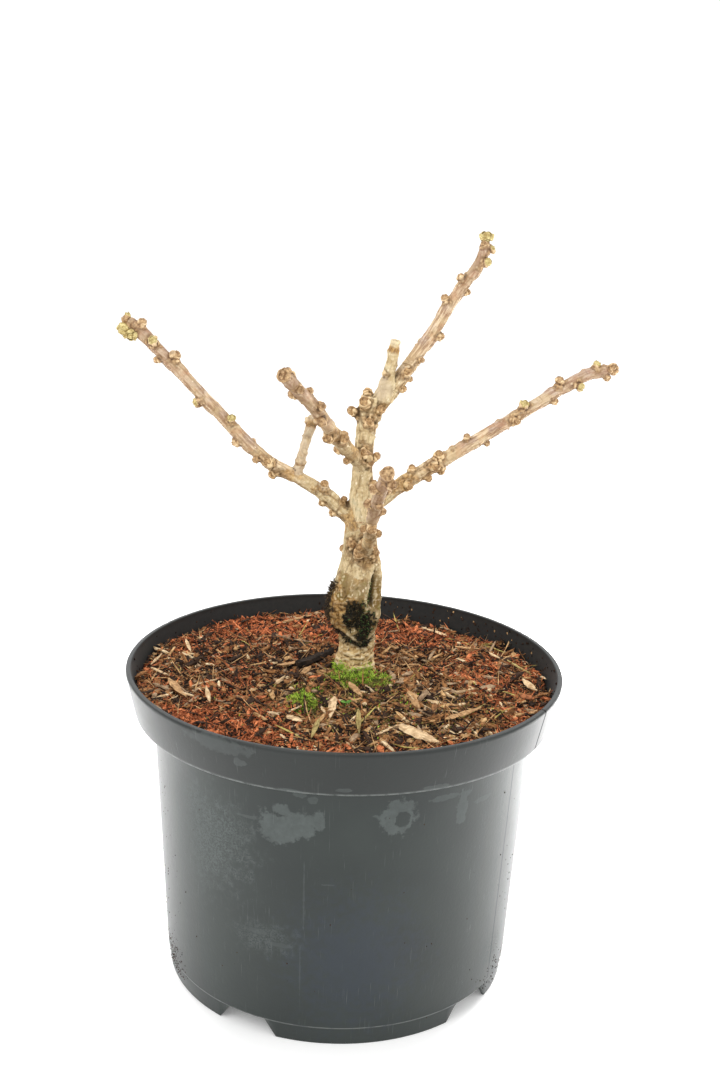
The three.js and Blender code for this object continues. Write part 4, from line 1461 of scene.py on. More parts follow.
def bud_scales(parts, rims, place, axis, radius, length, count, flare, random):
    """Overlapping rounded scales round a bud, each a thin closed shell; flare opens their tips."""
    up, right = frame_of(axis)
    across, rows = np.linspace(-1, 1, 5), np.linspace(0, 1, 6)
    start = random.uniform(0, 360)
    for k in range(count):
        middle = start + 137.5 * k + random.uniform(-16, 16)
        low = max(0, 0.42 * (k + random.uniform(-0.6, 0.6)) / count)
        high = min(low + random.uniform(0.6, 0.78), 1.0)
        shells = []
        for lift in (0.16, 0.0):
            for v in rows:
                t = low + (high - low) * v
                wide = 62 * math.sqrt(max(0.02, 1 - v**2.6)) * (1 - 0.25 * k / count)
                body = radius * max(0.0, math.sin(math.pi * (0.2 + 0.8 * t) ** 0.95)) ** 0.6
                out = body * (1.06 - 0.06 * k / count) + radius * (lift * (0.5 + v) + flare * v**2)
                for u in across:
                    c, s = turned(middle + u * wide)
                    reach = out * (1 - 0.1 * u * u)
                    shells.append(place + axis * length * t + (up * c + right * s) * reach)
        parts.add(shells, shell_faces(5, 6))
        # rim runs to 1 at a scale's edge and above 1 on its root row, where the material paints shade
        edge = np.maximum(np.abs(np.tile(across, 6)), np.repeat(rows, 5)) + np.repeat(rows < 0.1, 5)
        rims.append(np.tile(edge, 2))


def make_buds(buds):
    """The buds of every spur, joined by colour."""
    random = np.random.default_rng(91)
    for kind, (pale, deep) in BUD_COLOURS.items():
        parts, rims = Parts(), []
        for place, axis, radius, length, own in buds:
            if own != kind:
                continue
            count, flare = (6, 0.4 if length > 4.1 else 0.12) if kind == "green" else (7, 0.04)
            bud_scales(parts, rims, place, axis, radius, length, count, flare, random)
            core, faces = ball(place + axis * length * 0.42, axis, radius * 0.86, length * 0.5, 10, 7)
            parts.add(core, faces)
            rims.append(np.full(len(core), 0.7))
        data = parts.mesh(f"{kind}_buds")
        keep(data, "rim", np.concatenate(rims))
        piece(f"{kind}_buds", data, [scale_material(f"{kind}_scales", pale, deep)], slot="shoot")


# Soil

def soil_height(x, y):
    """The mound, as in the source."""
    radius = np.hypot(x, y)
    inner = np.maximum(0, radius - SOIL["seat"]) / (SOIL["out"] - SOIL["seat"])
    away = np.cos(np.arctan2(y, x) - math.radians(SOIL["dip_azimuth"]))
    fall = (SOIL["middle"] - SOIL["edge"] + SOIL["dip"] * away) * inner**1.6
    lumps = 1.1 * np.sin(x / 7 + 1.3) * np.cos(y / 9 - 0.4) + 0.7 * np.sin(x / 4.3 - y / 5.1)
    return SOIL["middle"] - fall + lumps * np.minimum(1, inner * 5)


def litter_height(x, y):
    """The soil's surface with its clods."""
    level = on_level(x, y)
    clods = 2.1 * layered(level, 11, 3, 71) + 0.8 * noise(level, 2.6, 75)
    clods -= zones(x, y, HOLLOWS)
    return soil_height(x, y) + clods * faded(np.hypot(x - CUT[0], y - CUT[1]), 8, 20)


def rim_of(cushion, angles):
    """How far a cushion's ragged edge stands out at each angle."""
    ring = np.column_stack([2.2 * np.cos(angles), 2.2 * np.sin(angles), np.full(len(angles), cushion["x"])])
    return 1 + 0.6 * layered(ring, 0.8, 3, 137)


def cushion_rise(cushion, x, y):
    """How high a cushion stands over the soil at a place."""
    c, s = turned(cushion["turn"])
    u = ((x - cushion["x"]) * c + (y - cushion["y"]) * s) / cushion["long"]
    v = ((y - cushion["y"]) * c - (x - cushion["x"]) * s) / cushion["wide"]
    share = np.hypot(u, v) / rim_of(cushion, np.arctan2(v, u))
    level = on_level(x, y)
    lumps = 0.8 + 0.3 * noise(level, 3.2, 133) + 0.14 * noise(level, 1.3, 134)
    return cushion["thick"] * 0.82 * np.sqrt(np.maximum(0, 1 - share**2)) * lumps


def top_height(x, y):
    """The surface that loose bits lie on: the litter or the moss."""
    return litter_height(x, y) + sum(cushion_rise(cushion, x, y) for cushion in MOSS.values())


def wall_radius(z):
    """The inner wall of the pot at a height in the band."""
    rise = (z - BAND["height"]) / (RIM["height"] - BAND["height"])
    return BAND["radius"] + (RIM["radius"] - RIM["lip"] + WALL - BAND["radius"]) * rise - WALL


def outer_wall(z):
    """The outer wall of the pot at a height below the band."""
    slope = np.interp(z, (FOOT["height"], BAND["height"]), (FOOT["step"], BAND["body"]))
    return np.where(z < FOOT["height"], FOOT["skirt"], slope)


def held_in_pot(points):
    """Points that would pass the wall are drawn in to it."""
    radius = np.hypot(points[..., 0], points[..., 1])
    limit = wall_radius(np.clip(points[..., 2], 150, 167)) - 0.5
    share = np.minimum(1, limit / radius)
    points[..., 0] *= share
    points[..., 1] *= share
    return points


def clear_of_trunk(x, y, gap):
    return np.hypot(x - CUT[0], y - CUT[1]) > gap


def scattered(count, random):
    """Places on the soil, clear of the trunk."""
    radius = LITTER_REACH * np.sqrt(random.random(count * 2))
    angle = random.random(count * 2) * 2 * math.pi
    x, y = radius * np.cos(angle), radius * np.sin(angle)
    clear = clear_of_trunk(x, y, TRUNK_GAP["litter"])
    return x[clear][:count], y[clear][:count]


def red_areas(x, y):
    """Where the mulch is fresh and red: the left front, the back on both sides and the front edge."""
    level = on_level(x, y)
    base = 0.15 + 0.42 * noise(level, 20, 81) + 0.15 * noise(level, 7, 82)
    base += zones(x, y, RED_ZONES)
    edge = np.exp(-((np.hypot(x, y) - 102) / 9) ** 2) * (0.18 * (y < 20) + 0.3 * (y < -45))
    return np.clip(base + edge - 0.5 * olive_areas(x, y), 0.03, 1)


def olive_areas(x, y):
    """Where moss threads tint the litter: in front of the trunk and on to the right."""
    level = on_level(x, y)
    return np.clip(zones(x, y, OLIVE_ZONES) * (0.9 + 0.7 * noise(level, 9, 83)), 0, 1)


def brown_areas(x, y):
    """Where the mulch is old: everywhere but in the red, olive and damp parts."""
    other = red_areas(x, y) + 0.4 * olive_areas(x, y) + zones(x, y, LESS_BROWN)
    return np.clip(1.05 - other, 0.05, 1)


def dark_areas(x, y):
    """Where the litter is dark: the middle left, behind the trunk on the right, where the dark bits are
    painted shade, and round the trunk.
    """
    darkened = 0.42 + 0.6 * noise(on_level(x, y), 13, 85) + zones(x, y, DARK_ZONES)
    return np.clip(darkened, 0.06, 1)


def chip_shape():
    """A flat six-sided flake, narrower at its ends and above."""
    outline = np.array(((-1, -0.15), (-0.55, -0.9), (0.5, -1), (1, 0.1), (0.6, 0.95), (-0.5, 0.85)))
    below = np.column_stack([outline, np.full(6, -1.0)])
    above = np.column_stack([outline * 0.86, np.full(6, 1.0)])
    sides = [(i, (i + 1) % 6, 6 + (i + 1) % 6, 6 + i) for i in range(6)]
    return np.vstack([below, above]), [(5, 4, 3, 2, 1, 0), (6, 7, 8, 9, 10, 11), *sides]


def crumb_shape():
    """An eight-faced crumb."""
    points = np.array(((1, 0, 0), (0, 1, 0), (-1, 0, 0), (0, -1, 0), (0, 0, 1), (0, 0, -1)), float)
    faces = [(i, (i + 1) % 4, 4) for i in range(4)] + [((i + 1) % 4, i, 5) for i in range(4)]
    return points, faces


def fibre_shape():
    """A three-sided splinter in three stretches, its ends drawn out."""
    rings = []
    for x, size in ((-1, 0.25), (-0.35, 1), (0.3, 0.9), (1, 0.2)):
        rings += [(x, size * math.cos(a), size * math.sin(a)) for a in (0.5, 2.6, 4.7)]
    faces = [(2, 1, 0), (9, 10, 11)]
    for ring in range(3):
        for i in range(3):
            a, b = ring * 3 + i, ring * 3 + (i + 1) % 3
            faces.append((a, b, b + 3, a + 3))
    return np.array(rings), faces


SHAPES = {"chip": chip_shape(), "crumb": crumb_shape(), "fibre": fibre_shape()}

# The loose bits: colour, shape, how many, length, width, thickness, tilt, seed and where they lie
LITTER = {
    "red_crumbs": ("red", "crumb", 12500, (0.8, 2.4), (0.7, 1.7), (0.6, 1.4), 0.5, 101, red_areas),
    "rust_crumbs": ("rust", "crumb", 10000, (1.0, 3.0), (0.8, 2.1), (0.6, 1.6), 0.5, 102, red_areas),
    "brown_crumbs": ("brown", "crumb", 8500, (0.9, 3.0), (0.8, 2.2), (0.6, 1.5), 0.5, 103, brown_areas),
    "olive_crumbs": ("olive", "crumb", 9000, (0.9, 2.8), (0.8, 2.0), (0.6, 1.4), 0.5, 117, olive_areas),
    "dark_crumbs": ("dark", "crumb", 10500, (0.9, 3.0), (0.8, 2.4), (0.6, 1.4), 0.5, 104, dark_areas),
    "red_fibres": ("red", "fibre", 9000, (2, 8), (0.35, 0.8), (0.35, 0.8), 0.42, 105, red_areas),
    "rust_fibres": ("rust", "fibre", 4200, (3, 11), (0.4, 0.9), (0.4, 0.8), 0.4, 106, red_areas),
    "brown_fibres": ("brown", "fibre", 2500, (3, 14), (0.4, 0.9), (0.4, 0.8), 0.36, 107, brown_areas),
    "olive_fibres": ("olive", "fibre", 2200, (2, 9), (0.4, 0.9), (0.35, 0.7), 0.36, 118, olive_areas),
    "dark_fibres": ("dark", "fibre", 900, (4, 18), (0.5, 1.4), (0.4, 1.0), 0.3, 116, None),
    "tan_fibres": ("tan", "fibre", 950, (4, 22), (0.35, 0.8), (0.3, 0.7), 0.3, 108, brown_areas),
    "red_chips": ("red", "chip", 900, (2.5, 9), (1.2, 3.2), (0.4, 1.1), 0.3, 109, red_areas),
    "brown_chips": ("brown", "chip", 1100, (3, 11), (1.2, 3.6), (0.4, 1.1), 0.28, 110, brown_areas),
    "dark_chips": ("dark", "chip", 520, (3, 13), (1.4, 4.0), (0.5, 1.2), 0.28, 111, None),
    "tan_chips": ("tan", "chip", 440, (3, 12), (1.0, 3.2), (0.4, 1.0), 0.26, 112, brown_areas),
    "pale_chips": ("pale", "chip", 420, (2.5, 12), (0.7, 2.2), (0.4, 0.9), 0.24, 113, brown_areas),
    "grey_chips": ("grey", "chip", 300, (4, 14), (1.2, 3.8), (0.5, 1.0), 0.22, 114, brown_areas),
    "pale_crumbs": ("pale", "crumb", 2600, (0.5, 1.6), (0.5, 1.3), (0.4, 0.9), 0.5, 119, None),
    "green_straws": ("straw", "fibre", 60, (8, 22), (0.5, 1.2), (0.4, 0.8), 0.2, 115, None),
}


def loose(name, material, kind, count, length, width, thick, tilt, seed, where):
    """A joined piece of loose bits that lie on the soil, each with its own size, turn and bend."""
    random = np.random.default_rng(seed)
    x, y = scattered(count, random)
    if where is not None:
        chosen = where(x, y) > random.random(len(x))
        x, y = x[chosen], y[chosen]
    bare = top_height(x, y) - litter_height(x, y) < random.exponential(1.0, len(x))
    x, y = x[bare], y[bare]
    count = len(x)
    shape, faces = SHAPES[kind]
    shape = np.repeat(shape[None], count, 0)
    shape = shape * (1 + 0.4 * (random.random((count, shape.shape[1], 3)) - 0.5))
    longs = length[0] + (length[1] - length[0]) * random.random(count) ** 1.8
    size = np.stack([longs, random.uniform(*width, count), random.uniform(*thick, count)], 1)
    shape = shape * size[:, None, :] / 2
    bend = random.uniform(-0.4, 0.4, count) / np.maximum(longs, 1)
    shape[:, :, 2] += bend[:, None] * shape[:, :, 0] ** 2
    turn, roll = random.random(count) * 2 * math.pi, random.normal(0, 0.35, count)
    pitch = random.normal(0, tilt, count)
    ax = np.stack([np.cos(turn) * np.cos(pitch), np.sin(turn) * np.cos(pitch), np.sin(pitch)], 1)
    side = np.stack([-np.sin(turn), np.cos(turn), np.zeros(count)], 1)
    up = np.cross(ax, side)
    side, up = (side * np.cos(roll)[:, None] + up * np.sin(roll)[:, None],
                up * np.cos(roll)[:, None] - side * np.sin(roll)[:, None])
    rest = top_height(x, y) + np.abs(np.sin(pitch)) * longs * 0.28 + size[:, 2] * 0.3
    points = np.stack([x, y, rest], 1)[:, None]
    for axis, vectors in enumerate((ax, side, up)):
        points = points + shape[:, :, axis:axis + 1] * vectors[:, None]
    return repeated(name, held_in_pot(points), faces, material, "soil")


def stuck(name, azimuths, heights, radius_at, sizes, out, seed, material):
    """Crumbs that stick to the pot's wall; out is +1 outside and -1 inside."""
    random = np.random.default_rng(seed)
    count = len(azimuths)
    a = np.radians(azimuths)
    normals = circle(1, a, 0) * out
    sides = np.stack([-np.sin(a), np.cos(a), np.zeros(count)], 1)
    centres = circle(radius_at(heights), a, heights)
    shape, faces = SHAPES["crumb"]
    size = random.uniform(*sizes, (count, 1, 1)) * (1 + 0.5 * (random.random((count, 6, 3)) - 0.5))
    shape = shape[None] * size / 2
    turn = random.random(count)[:, None, None] * math.pi
    across = shape[:, :, :1] * np.cos(turn) - shape[:, :, 1:2] * np.sin(turn)
    along = shape[:, :, :1] * np.sin(turn) + shape[:, :, 1:2] * np.cos(turn)
    points = centres[:, None] + across * sides[:, None] + shape[:, :, 2:] * 0.7 * normals[:, None]
    points[:, :, 2] += along[:, :, 0] * 1.3
    return repeated(name, points, faces, material, "soil")


def notch_rise(angles):
    """How far the skirt's lower edge is cut away at each azimuth."""
    rise = np.zeros(len(angles))
    for azimuth in NOTCH["azimuths"]:
        away = np.abs(away_from(angles, azimuth)) * math.pi / 180 * FOOT["skirt"]
        slope = (NOTCH["wide"] / 2 - away) / ((NOTCH["wide"] - NOTCH["narrow"]) / 2)
        rise = np.maximum(rise, np.clip(slope, 0, 1) * NOTCH["height"])
    return rise


def make_wall_dirt(material, pale):
    """Crumbs splashed on the pot: most at the foot on both sides, a few inside above the soil."""
    random = np.random.default_rng(171)
    azimuths = np.concatenate([random.normal(a, wide, count) for a, wide, z, tall, count in SPLASHES])
    rises = [z + tall * (random.random(count) - 0.5) * 1.6 for a, wide, z, tall, count in SPLASHES]
    heights = np.clip(np.concatenate(rises), 3, 143)
    clear = notch_rise(azimuths) < heights + 0.1
    stuck("splashed_dirt", azimuths[clear], heights[clear], outer_wall, (0.3, 0.95), 1, 172, material)
    near_back = random.random(WALL_CRUMBS) < 0.5
    back, all_round = random.normal(45, 30, WALL_CRUMBS), random.uniform(-180, 180, WALL_CRUMBS)
    azimuths = np.where(near_back, back, all_round)
    heights = 158 + 9 * random.random(WALL_CRUMBS) ** 1.7
    stuck("wall_crumbs", azimuths, heights, wall_radius, (0.4, 1.8), -1, 173, material)
    azimuths = random.normal(60, 18, PALE_WALL_CRUMBS)
    heights = 159 + 8 * random.random(PALE_WALL_CRUMBS)
    stuck("pale_wall_crumbs", azimuths, heights, wall_radius, (0.4, 1.4), -1, 174, pale)


def flake_width(t, blunt):
    """A flake's share of its full width: one end split off bluntly, the other drawn out."""
    return max(0.15, min(1, (t + 0.05) * 6 * blunt + 0.1) * min(1, (1.04 - t) * 2.2) ** 0.8)


def strip_level(start, end, t):
    """A straight line between the litter's heights at a flake's two ends."""
    x, y = np.array([start[0], end[0]]), np.array([start[1], end[1]])
    low, high = top_height(x, y)
    return low + (high - low) * t


def strip_points(from_x, from_y, to_x, to_y, breadth, thick, random):
    """A flake's stations, each a flat six-cornered section with an uneven edge, and its grain."""
    start, end = np.array((from_x, from_y)), np.array((to_x, to_y))
    length = np.linalg.norm(end - start)
    along = (end - start) / length
    across = np.array((-along[1], along[0]))
    points, grain = [], []
    tilt, blunt = random.uniform(-0.3, 0.3), random.uniform(0.3, 0.9)
    for t in np.linspace(0, 1, FLAKE_STATIONS):
        middle = start + (end - start) * t
        left, right = random.uniform(0.8, 1.1, 2) * breadth / 2 * flake_width(t, blunt)
        here = top_height(middle[:1], middle[1:])[0]
        rest = here * 0.15 + strip_level(start, end, t) * 0.85 + 2.4
        for u, lift in ((-1, 0), (-0.6, 0.75), (0.5, 1), (1, 0.15), (0.6, -0.7), (-0.5, -0.8)):
            wide = left if u < 0 else right
            x, y = middle + across * wide * u
            points.append((x, y, rest + thick * lift * random.uniform(0.75, 1.15) + tilt * wide * u))
            grain.append((length * t, wide * u, thick * lift))
    return points, np.array(grain)


def strip_faces():
    last = (FLAKE_STATIONS - 1) * 6
    faces = [(5, 4, 3, 2, 1, 0), tuple(range(last, last + 6))]
    for ring in range(FLAKE_STATIONS - 1):
        for side in range(6):
            a, b = ring * 6 + side, ring * 6 + (side + 1) % 6
            faces.append((a, b, b + 6, a + 6))
    return faces


def make_strips(materials):
    """The big flakes that can be told apart in the litter, laid from one end to the other."""
    for colour, material in materials.items():
        rows, grains = [], []
        for index, (*strip, own) in enumerate(STRIPS):
            if own == colour:
                points, grain = strip_points(*strip, np.random.default_rng(180 + index))
                rows.append(points)
                grains.append(grain + index * 50)
        obj = repeated(f"{colour}_strips", np.array(rows), strip_faces(), material, "soil")
        keep_vectors(obj.data, "grain", np.concatenate(grains))


def make_soil_bed():
    """The surface under the loose bits, closed below: dark soil, near black to paint shade in the gaps
    between the bits.
    """
    reach = wall_radius(157) - 0.4
    angles = np.linspace(0, 2 * math.pi, BED["sides"], endpoint=False)
    rings = [circle(radius, angles, BED["bottom"]) for radius in (BED["inner"], reach)]
    for radius in np.linspace(2, reach, BED["rings"])[::-1]:
        x, y = radius * np.cos(angles), radius * np.sin(angles)
        rings.append(np.stack([x, y, litter_height(x, y)], 1))
    # Near black: painted shade for the gaps between the loose bits
    made = litter_material("soil_bed", (52, 32, 23), (15, 10, 8), 5)
    piece("soil_bed", skinned("soil_bed", rings), [made], "soil", slot="soil")


def make_litter():
    """The loose bits, the big flakes and the dirt on the wall."""
    made = {colour: litter_material(*row) for colour, row in LITTER_COLOURS.items()}
    few = 1.0
    for name, (colour, kind, count, *shape, where) in LITTER.items():
        loose(name, made[colour], kind, int(count * few), *shape, where)
    make_strips({colour: flake_material(f"{colour}_flakes", *row) for colour, row in FLAKE_COLOURS.items()})
    make_wall_dirt(made["dark"], made["tan"])


# Moss

def on_cushion(cushion, u, v):
    """The place on the soil of a cushion's own coordinates, 1 at its edge."""
    c, s = turned(cushion["turn"])
    x = cushion["x"] + cushion["long"] * u * c - cushion["wide"] * v * s
    return x, cushion["y"] + cushion["long"] * u * s + cushion["wide"] * v * c


def cushion_places(cushion, count, random):
    """Places spread over a cushion and a little past its edge, and which way is out there."""
    angle = random.random(count) * 2 * math.pi
    radius = 1.12 * np.sqrt(random.random(count)) * rim_of(cushion, angle)
    u, v = radius * np.cos(angle), radius * np.sin(angle)
    x, y = on_cushion(cushion, u, v)
    z = soil_height(x, y) + cushion_rise(cushion, x, y)
    c, s = turned(cushion["turn"])
    normals = unit(np.column_stack([(u * c - v * s) * 0.6, (u * s + v * c) * 0.6, np.full(count, 0.9)]))
    clear = clear_of_trunk(x, y, TRUNK_GAP["moss"])
    return np.column_stack([x, y, z])[clear], normals[clear]


def make_cushion(name, cushion, material):
    """A cushion's body of brown stems under its leaves."""
    angles = np.linspace(0, 2 * math.pi, 60, endpoint=False)
    rings = []
    for share in np.linspace(1.05, 0.05, 16):
        u, v = share * rim_of(cushion, angles) * (np.cos(angles), np.sin(angles))
        x, y = on_cushion(cushion, u, v)
        sunk = 1.5 if share > 1 else 0.5
        rings.append(np.column_stack([x, y, soil_height(x, y) + cushion_rise(cushion, x, y) - sunk]))
    piece(f"{name}_bed", skinned(name, rings), [material], name, slot="moss")


def blades(name, places, normals, length, width, seed, material, spread_by):
    """Small pointed leaves that stand out of a surface, joined."""
    random = np.random.default_rng(seed)
    count = len(places)
    out = unit(normals + random.normal(0, spread_by, (count, 3)))
    side = unit(np.cross(out, random.normal(0, 1, (count, 3))))
    back = np.cross(out, side)
    long = random.uniform(*length, count)[:, None]
    wide = random.uniform(*width, count)[:, None]
    thick = wide * 0.22
    root, bulge, tip = places - out * 0.3, places + out * long * 0.45, places + out * long
    bulge = bulge + back * long * 0.12
    tip = tip + back * long * 0.38
    points = np.stack([root, bulge - side * wide / 2, bulge + side * wide / 2, bulge + back * thick, tip], 1)
    faces = ((0, 2, 1), (0, 1, 3), (0, 3, 2), (4, 1, 2), (4, 3, 1), (4, 2, 3))
    return repeated(name, points, faces, material, "moss")


def make_cushions(materials, random):
    for name, cushion in MOSS.items():
        make_cushion(name, cushion, materials["dull"])
        count = int(CUSHION_DENSITY * cushion["long"] * cushion["wide"] * (1))
        for kind, share, long, thin, seed in CUSHION_LEAVES:
            places, normals = cushion_places(cushion, int(count * share), random)
            clumps = layered(places, 3.4, 3, seed) > thin + 0.8 * faded(places[:, 0], 0, 20)
            places, normals = places[clumps], normals[clumps]
            blades(f"{name}_{kind}_leaves", places, normals, long, (0.3, 0.65), 141, materials[kind], 0.8)


def make_moss():
    """The cushions and the thin moss over the litter in front of the trunk."""
    materials = {kind: moss_material(f"{kind}_moss") for kind in ("bright", "deep", "dull")}
    random = np.random.default_rng(121)
    make_cushions(materials, random)
    x, y = scattered(THIN_MOSS_TRIES, random)
    near = zones(x, y, THIN_MOSS) * (0.35 + 1.3 * noise(on_level(x, y), 7, 151))
    chosen = near > random.random(len(x))
    x, y = x[chosen], y[chosen]
    places = np.column_stack([x, y, top_height(x, y) + 0.3])
    upwards = np.tile((0, 0, 1.0), (len(x), 1))
    split = random.random(len(x)) < 0.3
    bright, dull = materials["bright"], materials["dull"]
    blades("thin_green_moss", places[split], upwards[split], (0.8, 2.2), (0.4, 0.9), 152, bright, 0.8)
    blades("thin_dull_moss", places[~split], upwards[~split], (0.8, 2.0), (0.4, 0.9), 153, dull, 0.8)


def make_trunk_moss(trunk):
    """Dark moss in the graft's wound and in tufts on its left side."""
    points, normals = points_of(trunk.data), normals_of(trunk.data)
    dark = np.empty(len(points), np.float32)
    trunk.data.attributes["dark"].data.foreach_get("value", dark)
    random = np.random.default_rng(161)
    turn, up = trunk_turn(points), points[:, 2] - CUT[2]
    beside = away_from(turn, slit_azimuth(up))
    sore = (np.abs(turn + 75) < 48) & (up < 54) & ((np.abs(beside) > 10) | (up < 40))
    darkened = (dark > 0.3) & (up < 62)
    side = darkened & (np.abs(turn) > 120)
    green = 0.02 + 0.09 * (turn > -80)
    foot = 1 - faded(up + 1.5 * layered(points, 4, 2, 169), 3.0, 6.5)
    foot *= 1 - faded(np.abs(away_from(turn, -105)), 45, 85)
    left_of_slit = (beside > -20) & (beside < -7) & (up > 30) & (up < 55)
    close_to_slit = (beside > -18) & (beside < -8) & (up > 26) & (up < 52)
    tufts = (
        ("wound_moss", (dark > 0.72) & sore, 0.5, (0.8, 2.2), (0.35, 0.8), 162, "black_moss", 1.0),
        ("wound_green_moss", (dark > 0.6) & sore, green, (0.8, 2.0), (0.4, 0.9), 163, "wet_moss", 0.8),
        ("dry_moss_leaves", darkened, 0.07, (0.8, 2.6), (0.3, 0.7), 165, "dry_moss", 0.9),
        ("side_tufts", side & ~sore, 0.5, (1.0, 3.6), (0.3, 0.7), 164, "burnt_bark", 0.9),
        ("slit_moss", left_of_slit, 0.1, (0.6, 1.6), (0.3, 0.6), 166, "wet_moss", 0.9),
        ("slit_dry_moss", close_to_slit, 0.03, (0.6, 1.8), (0.4, 0.8), 167, "pale_moss", 0.9),
        ("foot_moss", (dark < 0.3) & (up < 8), foot, (0.9, 2.6), (0.3, 0.65), 168, "foot_moss_green", 1.0),
    )
    made = {kind: moss_material(kind) for kind in sorted({row[6] for row in tufts})}
    for name, where, share, long, wide, seed, kind, spread_by in tufts:
        pick = where & (random.random(len(points)) < share)
        blades(name, points[pick], normals[pick], long, wide, seed, made[kind], spread_by)


def make_sprout():
    """A seedling with a short stem and four round leaves."""
    x, y = np.array([SPROUT["x"]]), np.array([SPROUT["y"]])
    root = np.array((SPROUT["x"], SPROUT["y"], top_height(x, y)[0]))
    top = root + np.array((0.3, -0.2, SPROUT["tall"]))
    parts = Parts()
    stem = unit(top - root)
    parts.add(*tube([(root - stem, stem, 0.3), (root + stem * 2, stem, 0.28), (top, stem, 0.22)], 8))
    for azimuth, climb, length in ((20, 25, 3.2), (150, 20, 3.0), (255, 35, 2.6), (320, 30, 2.4)):
        out = heading(azimuth, climb)
        over = np.cross(out, np.cross((0, 0, 1.0), out))
        right = np.cross(out, over)
        shells = []
        for lift in (0.12, -0.12):
            for v in np.linspace(0, 1, 6):
                wide = length * 0.42 * math.sin(math.pi * (0.06 + 0.88 * v)) ** 0.7
                for u in np.linspace(-1, 1, 5):
                    fold = 0.25 * wide * u * u - 0.5 * v * v
                    shells.append(top + out * length * v + right * wide * u + over * (fold + lift))
        parts.add(shells, shell_faces(5, 6))
    piece("sprout", parts.mesh("sprout"), [moss_material("sprout_green")], slot="moss")


# The pot

def pot_angles():
    """Sector edges every 1.2 degrees, and at every corner of a notch."""
    widths = NOTCH["wide"], NOTCH["narrow"]
    corners = [azimuth + side * math.degrees(width / 2 / FOOT["skirt"])
               for azimuth in NOTCH["azimuths"] for side in (-1, 1) for width in widths]
    return np.unique(np.round(np.concatenate([np.arange(-180, 180, 1.2), corners]), 3) % 360)


def rounded(outline, sizes):
    """An outline whose corners are rounded to the sizes given."""
    outline = np.array(outline, float)
    points = []
    for k, (corner, size) in enumerate(zip(outline, sizes)):
        if size == 0:
            points.append(corner)
            continue
        before, after = outline[k - 1], outline[(k + 1) % len(outline)]
        to_before = size * unit(before - corner)
        to_after = size * unit(after - corner)
        for t in (0, 0.25, 0.5, 0.75, 1):
            points.append(corner + to_before * (1 - t) ** 2 + to_after * t**2)
    return np.array(points)


def pot_outline():
    """The pot's profile, out and back inside: radius and height of each corner, and how far it is rounded."""
    inner = {key: size["radius"] - WALL for key, size in (("foot", FOOT), ("band", BAND))}
    lip, floor = RIM["radius"] - RIM["lip"], FOOT["height"] + WALL
    return (
        ((0.01, 0), 0), ((PAD["radius"], 0), 1), ((PAD["radius"] + PAD["slope"], FOOT["height"]), 2),
        ((FOOT["skirt"] - WALL, FOOT["height"]), 0.6), ((inner["foot"], 0), 0.4), ((FOOT["radius"], 0), 0.5),
        ((FOOT["skirt"], FOOT["height"] - 0.9), 0.3), ((FOOT["step"], FOOT["height"] + 0.2), 0.3),
        ((BAND["body"] - 0.02, BAND["height"] - 0.4), 1.2), ((BAND["radius"] - 0.5, BAND["height"]), 0.5),
        ((BAND["radius"] + 0.15, BAND["height"] + 1.6), 0.5), ((RIM["radius"], RIM["height"] - 1.2), 0.9),
        ((RIM["radius"] - 0.6, RIM["height"]), 0.9), ((lip, RIM["height"]), 0.6),
        ((lip, RIM["height"] - 1.6), 0.5), ((inner["band"], BAND["height"] + WALL), 2),
        ((BAND["body"] - WALL, BAND["height"] + WALL - 0.4), 1.5), ((FOOT["step"] - WALL, floor), 1.5),
        ((PAD["radius"] + PAD["slope"] - 1, floor), 1), ((PAD["radius"] - 1, WALL), 1), ((0.01, WALL), 0),
    )


def drain(obj):
    """Cuts the drain holes in the raised part of the floor."""
    parts = Parts()
    up = np.array((0.001, 0, 1.0))
    for k in range(DRAIN["count"]):
        c, s = turned(360 * (k + 0.5) / DRAIN["count"])
        centre = np.array((DRAIN["circle"] * c, DRAIN["circle"] * s, FOOT["height"]))
        parts.add(*tube([(centre + up * reach, unit(up), DRAIN["radius"]) for reach in (-3, 5)], 28))
    cutter = placed("cutter", parts.mesh("cutter"))
    cut = obj.modifiers.new("holes", "BOOLEAN")
    cut.object = cutter
    cut.operation = "DIFFERENCE"
    cut.solver = "EXACT"
    data = evaluated(obj)
    obj.modifiers.clear()
    obj.data = data
    bpy.data.objects.remove(cutter)
    smoothed(data, True)
    data.set_sharp_from_angle(angle=math.radians(38))
    points = points_of(data)
    radius = np.hypot(points[:, 0], points[:, 1])
    keep(data, "inside", (radius < wall_radius(points[:, 2]) + 0.5) & (points[:, 2] > BAND["height"]))


def make_pot():
    angles = pot_angles()
    rise = notch_rise(angles)
    rings = []
    for r, z in rounded(*zip(*pot_outline())):
        skirt = r > FOOT["radius"] - WALL - 1.5 and z < FOOT["height"] - 0.2
        lifted = z + (FOOT["height"] - 0.5 - z) / FOOT["height"] * rise if skirt else z
        rings.append(circle(r, np.radians(angles), lifted))
    drain(piece("nursery_pot", skinned("nursery_pot", rings), [pot_material()], "pot", slot="pot"))


# The floor, the light and the camera

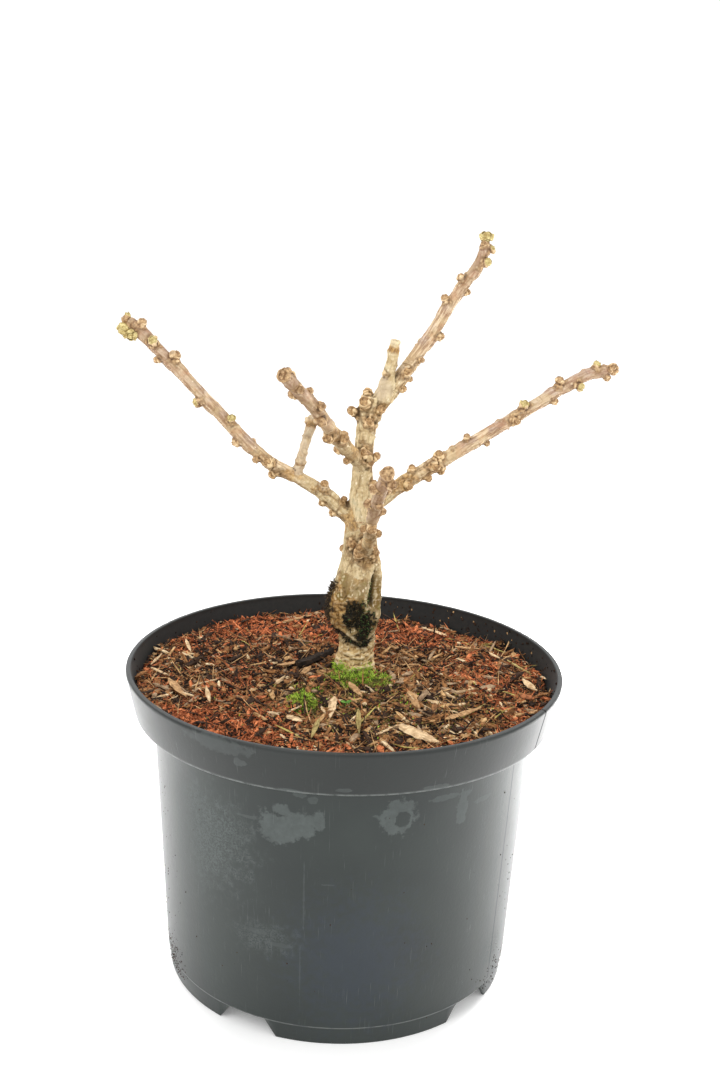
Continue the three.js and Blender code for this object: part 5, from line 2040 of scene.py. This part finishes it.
def add_light(name, settings):
    lamp = bpy.data.lights.new(name, "AREA")
    lamp.size = settings["size"]
    lamp.energy = settings["power"]
    lamp.spread = math.radians(settings["spread"])
    obj = placed(name, lamp)
    obj.location = settings["place"]
    aim = Vector(settings["aim"]) - Vector(settings["place"])
    obj.rotation_mode = "QUATERNION"
    obj.rotation_quaternion = aim.to_track_quat("-Z", "Y")


def make_surroundings():
    """A white world, a pale floor that glows as painted light to fill its shadows, and the lamps."""
    world = bpy.data.worlds.new("white_world")
    bpy.context.scene.world = world
    world.use_nodes = True
    sky = world.node_tree.nodes["Background"]
    sky.inputs["Color"].default_value = (1, 1, 1, 1)
    sky.inputs["Strength"].default_value = WORLD_LIGHT
    floor = bpy.data.meshes.new("floor")
    side = FLOOR["side"]
    corners = [(-side, -side, 0), (side, -side, 0), (side, side, 0), (-side, side, 0)]
    floor.from_pydata(corners, [], [(0, 1, 2, 3)])
    pale = Shader("pale_floor", roughness=0.7, specular=0.2)
    pale.surface.inputs["Base Color"].default_value = FLOOR["colour"]
    # Painted light: the floor glows to wash out the shadows on it
    pale.surface.inputs["Emission Color"].default_value = (1, 1, 1, 1)
    pale.surface.inputs["Emission Strength"].default_value = FLOOR["glow"]
    floor.materials.append(pale.material)
    placed("floor", floor)
    for name, lamp in LAMPS.items():
        add_light(name, lamp)


def make_camera():
    """The camera looks along +Y, turned right by its yaw, down by its pitch, and rolled."""
    yaw, pitch, roll = (math.radians(CAMERA[key]) for key in ("yaw", "pitch", "roll"))
    turn = Matrix.Rotation(-yaw, 4, "Z") @ Matrix.Rotation(math.pi / 2 - pitch, 4, "X")
    turn = turn @ Matrix.Rotation(roll, 4, "Z")
    data = bpy.data.cameras.new("camera")
    data.sensor_width = CAMERA["sensor"]
    data.lens = CAMERA["lens"]
    obj = placed("camera", data)
    obj.matrix_world = Matrix.Translation([v * MM for v in CAMERA["place"]]) @ turn
    bpy.context.scene.camera = obj
    bpy.context.scene.view_settings.view_transform = "Standard"


make_camera()
make_surroundings()
trunk, buds = make_wood()
make_buds(buds)
make_trunk_moss(trunk)
make_soil_bed()
make_litter()
make_moss()
make_sprout()
make_pot()
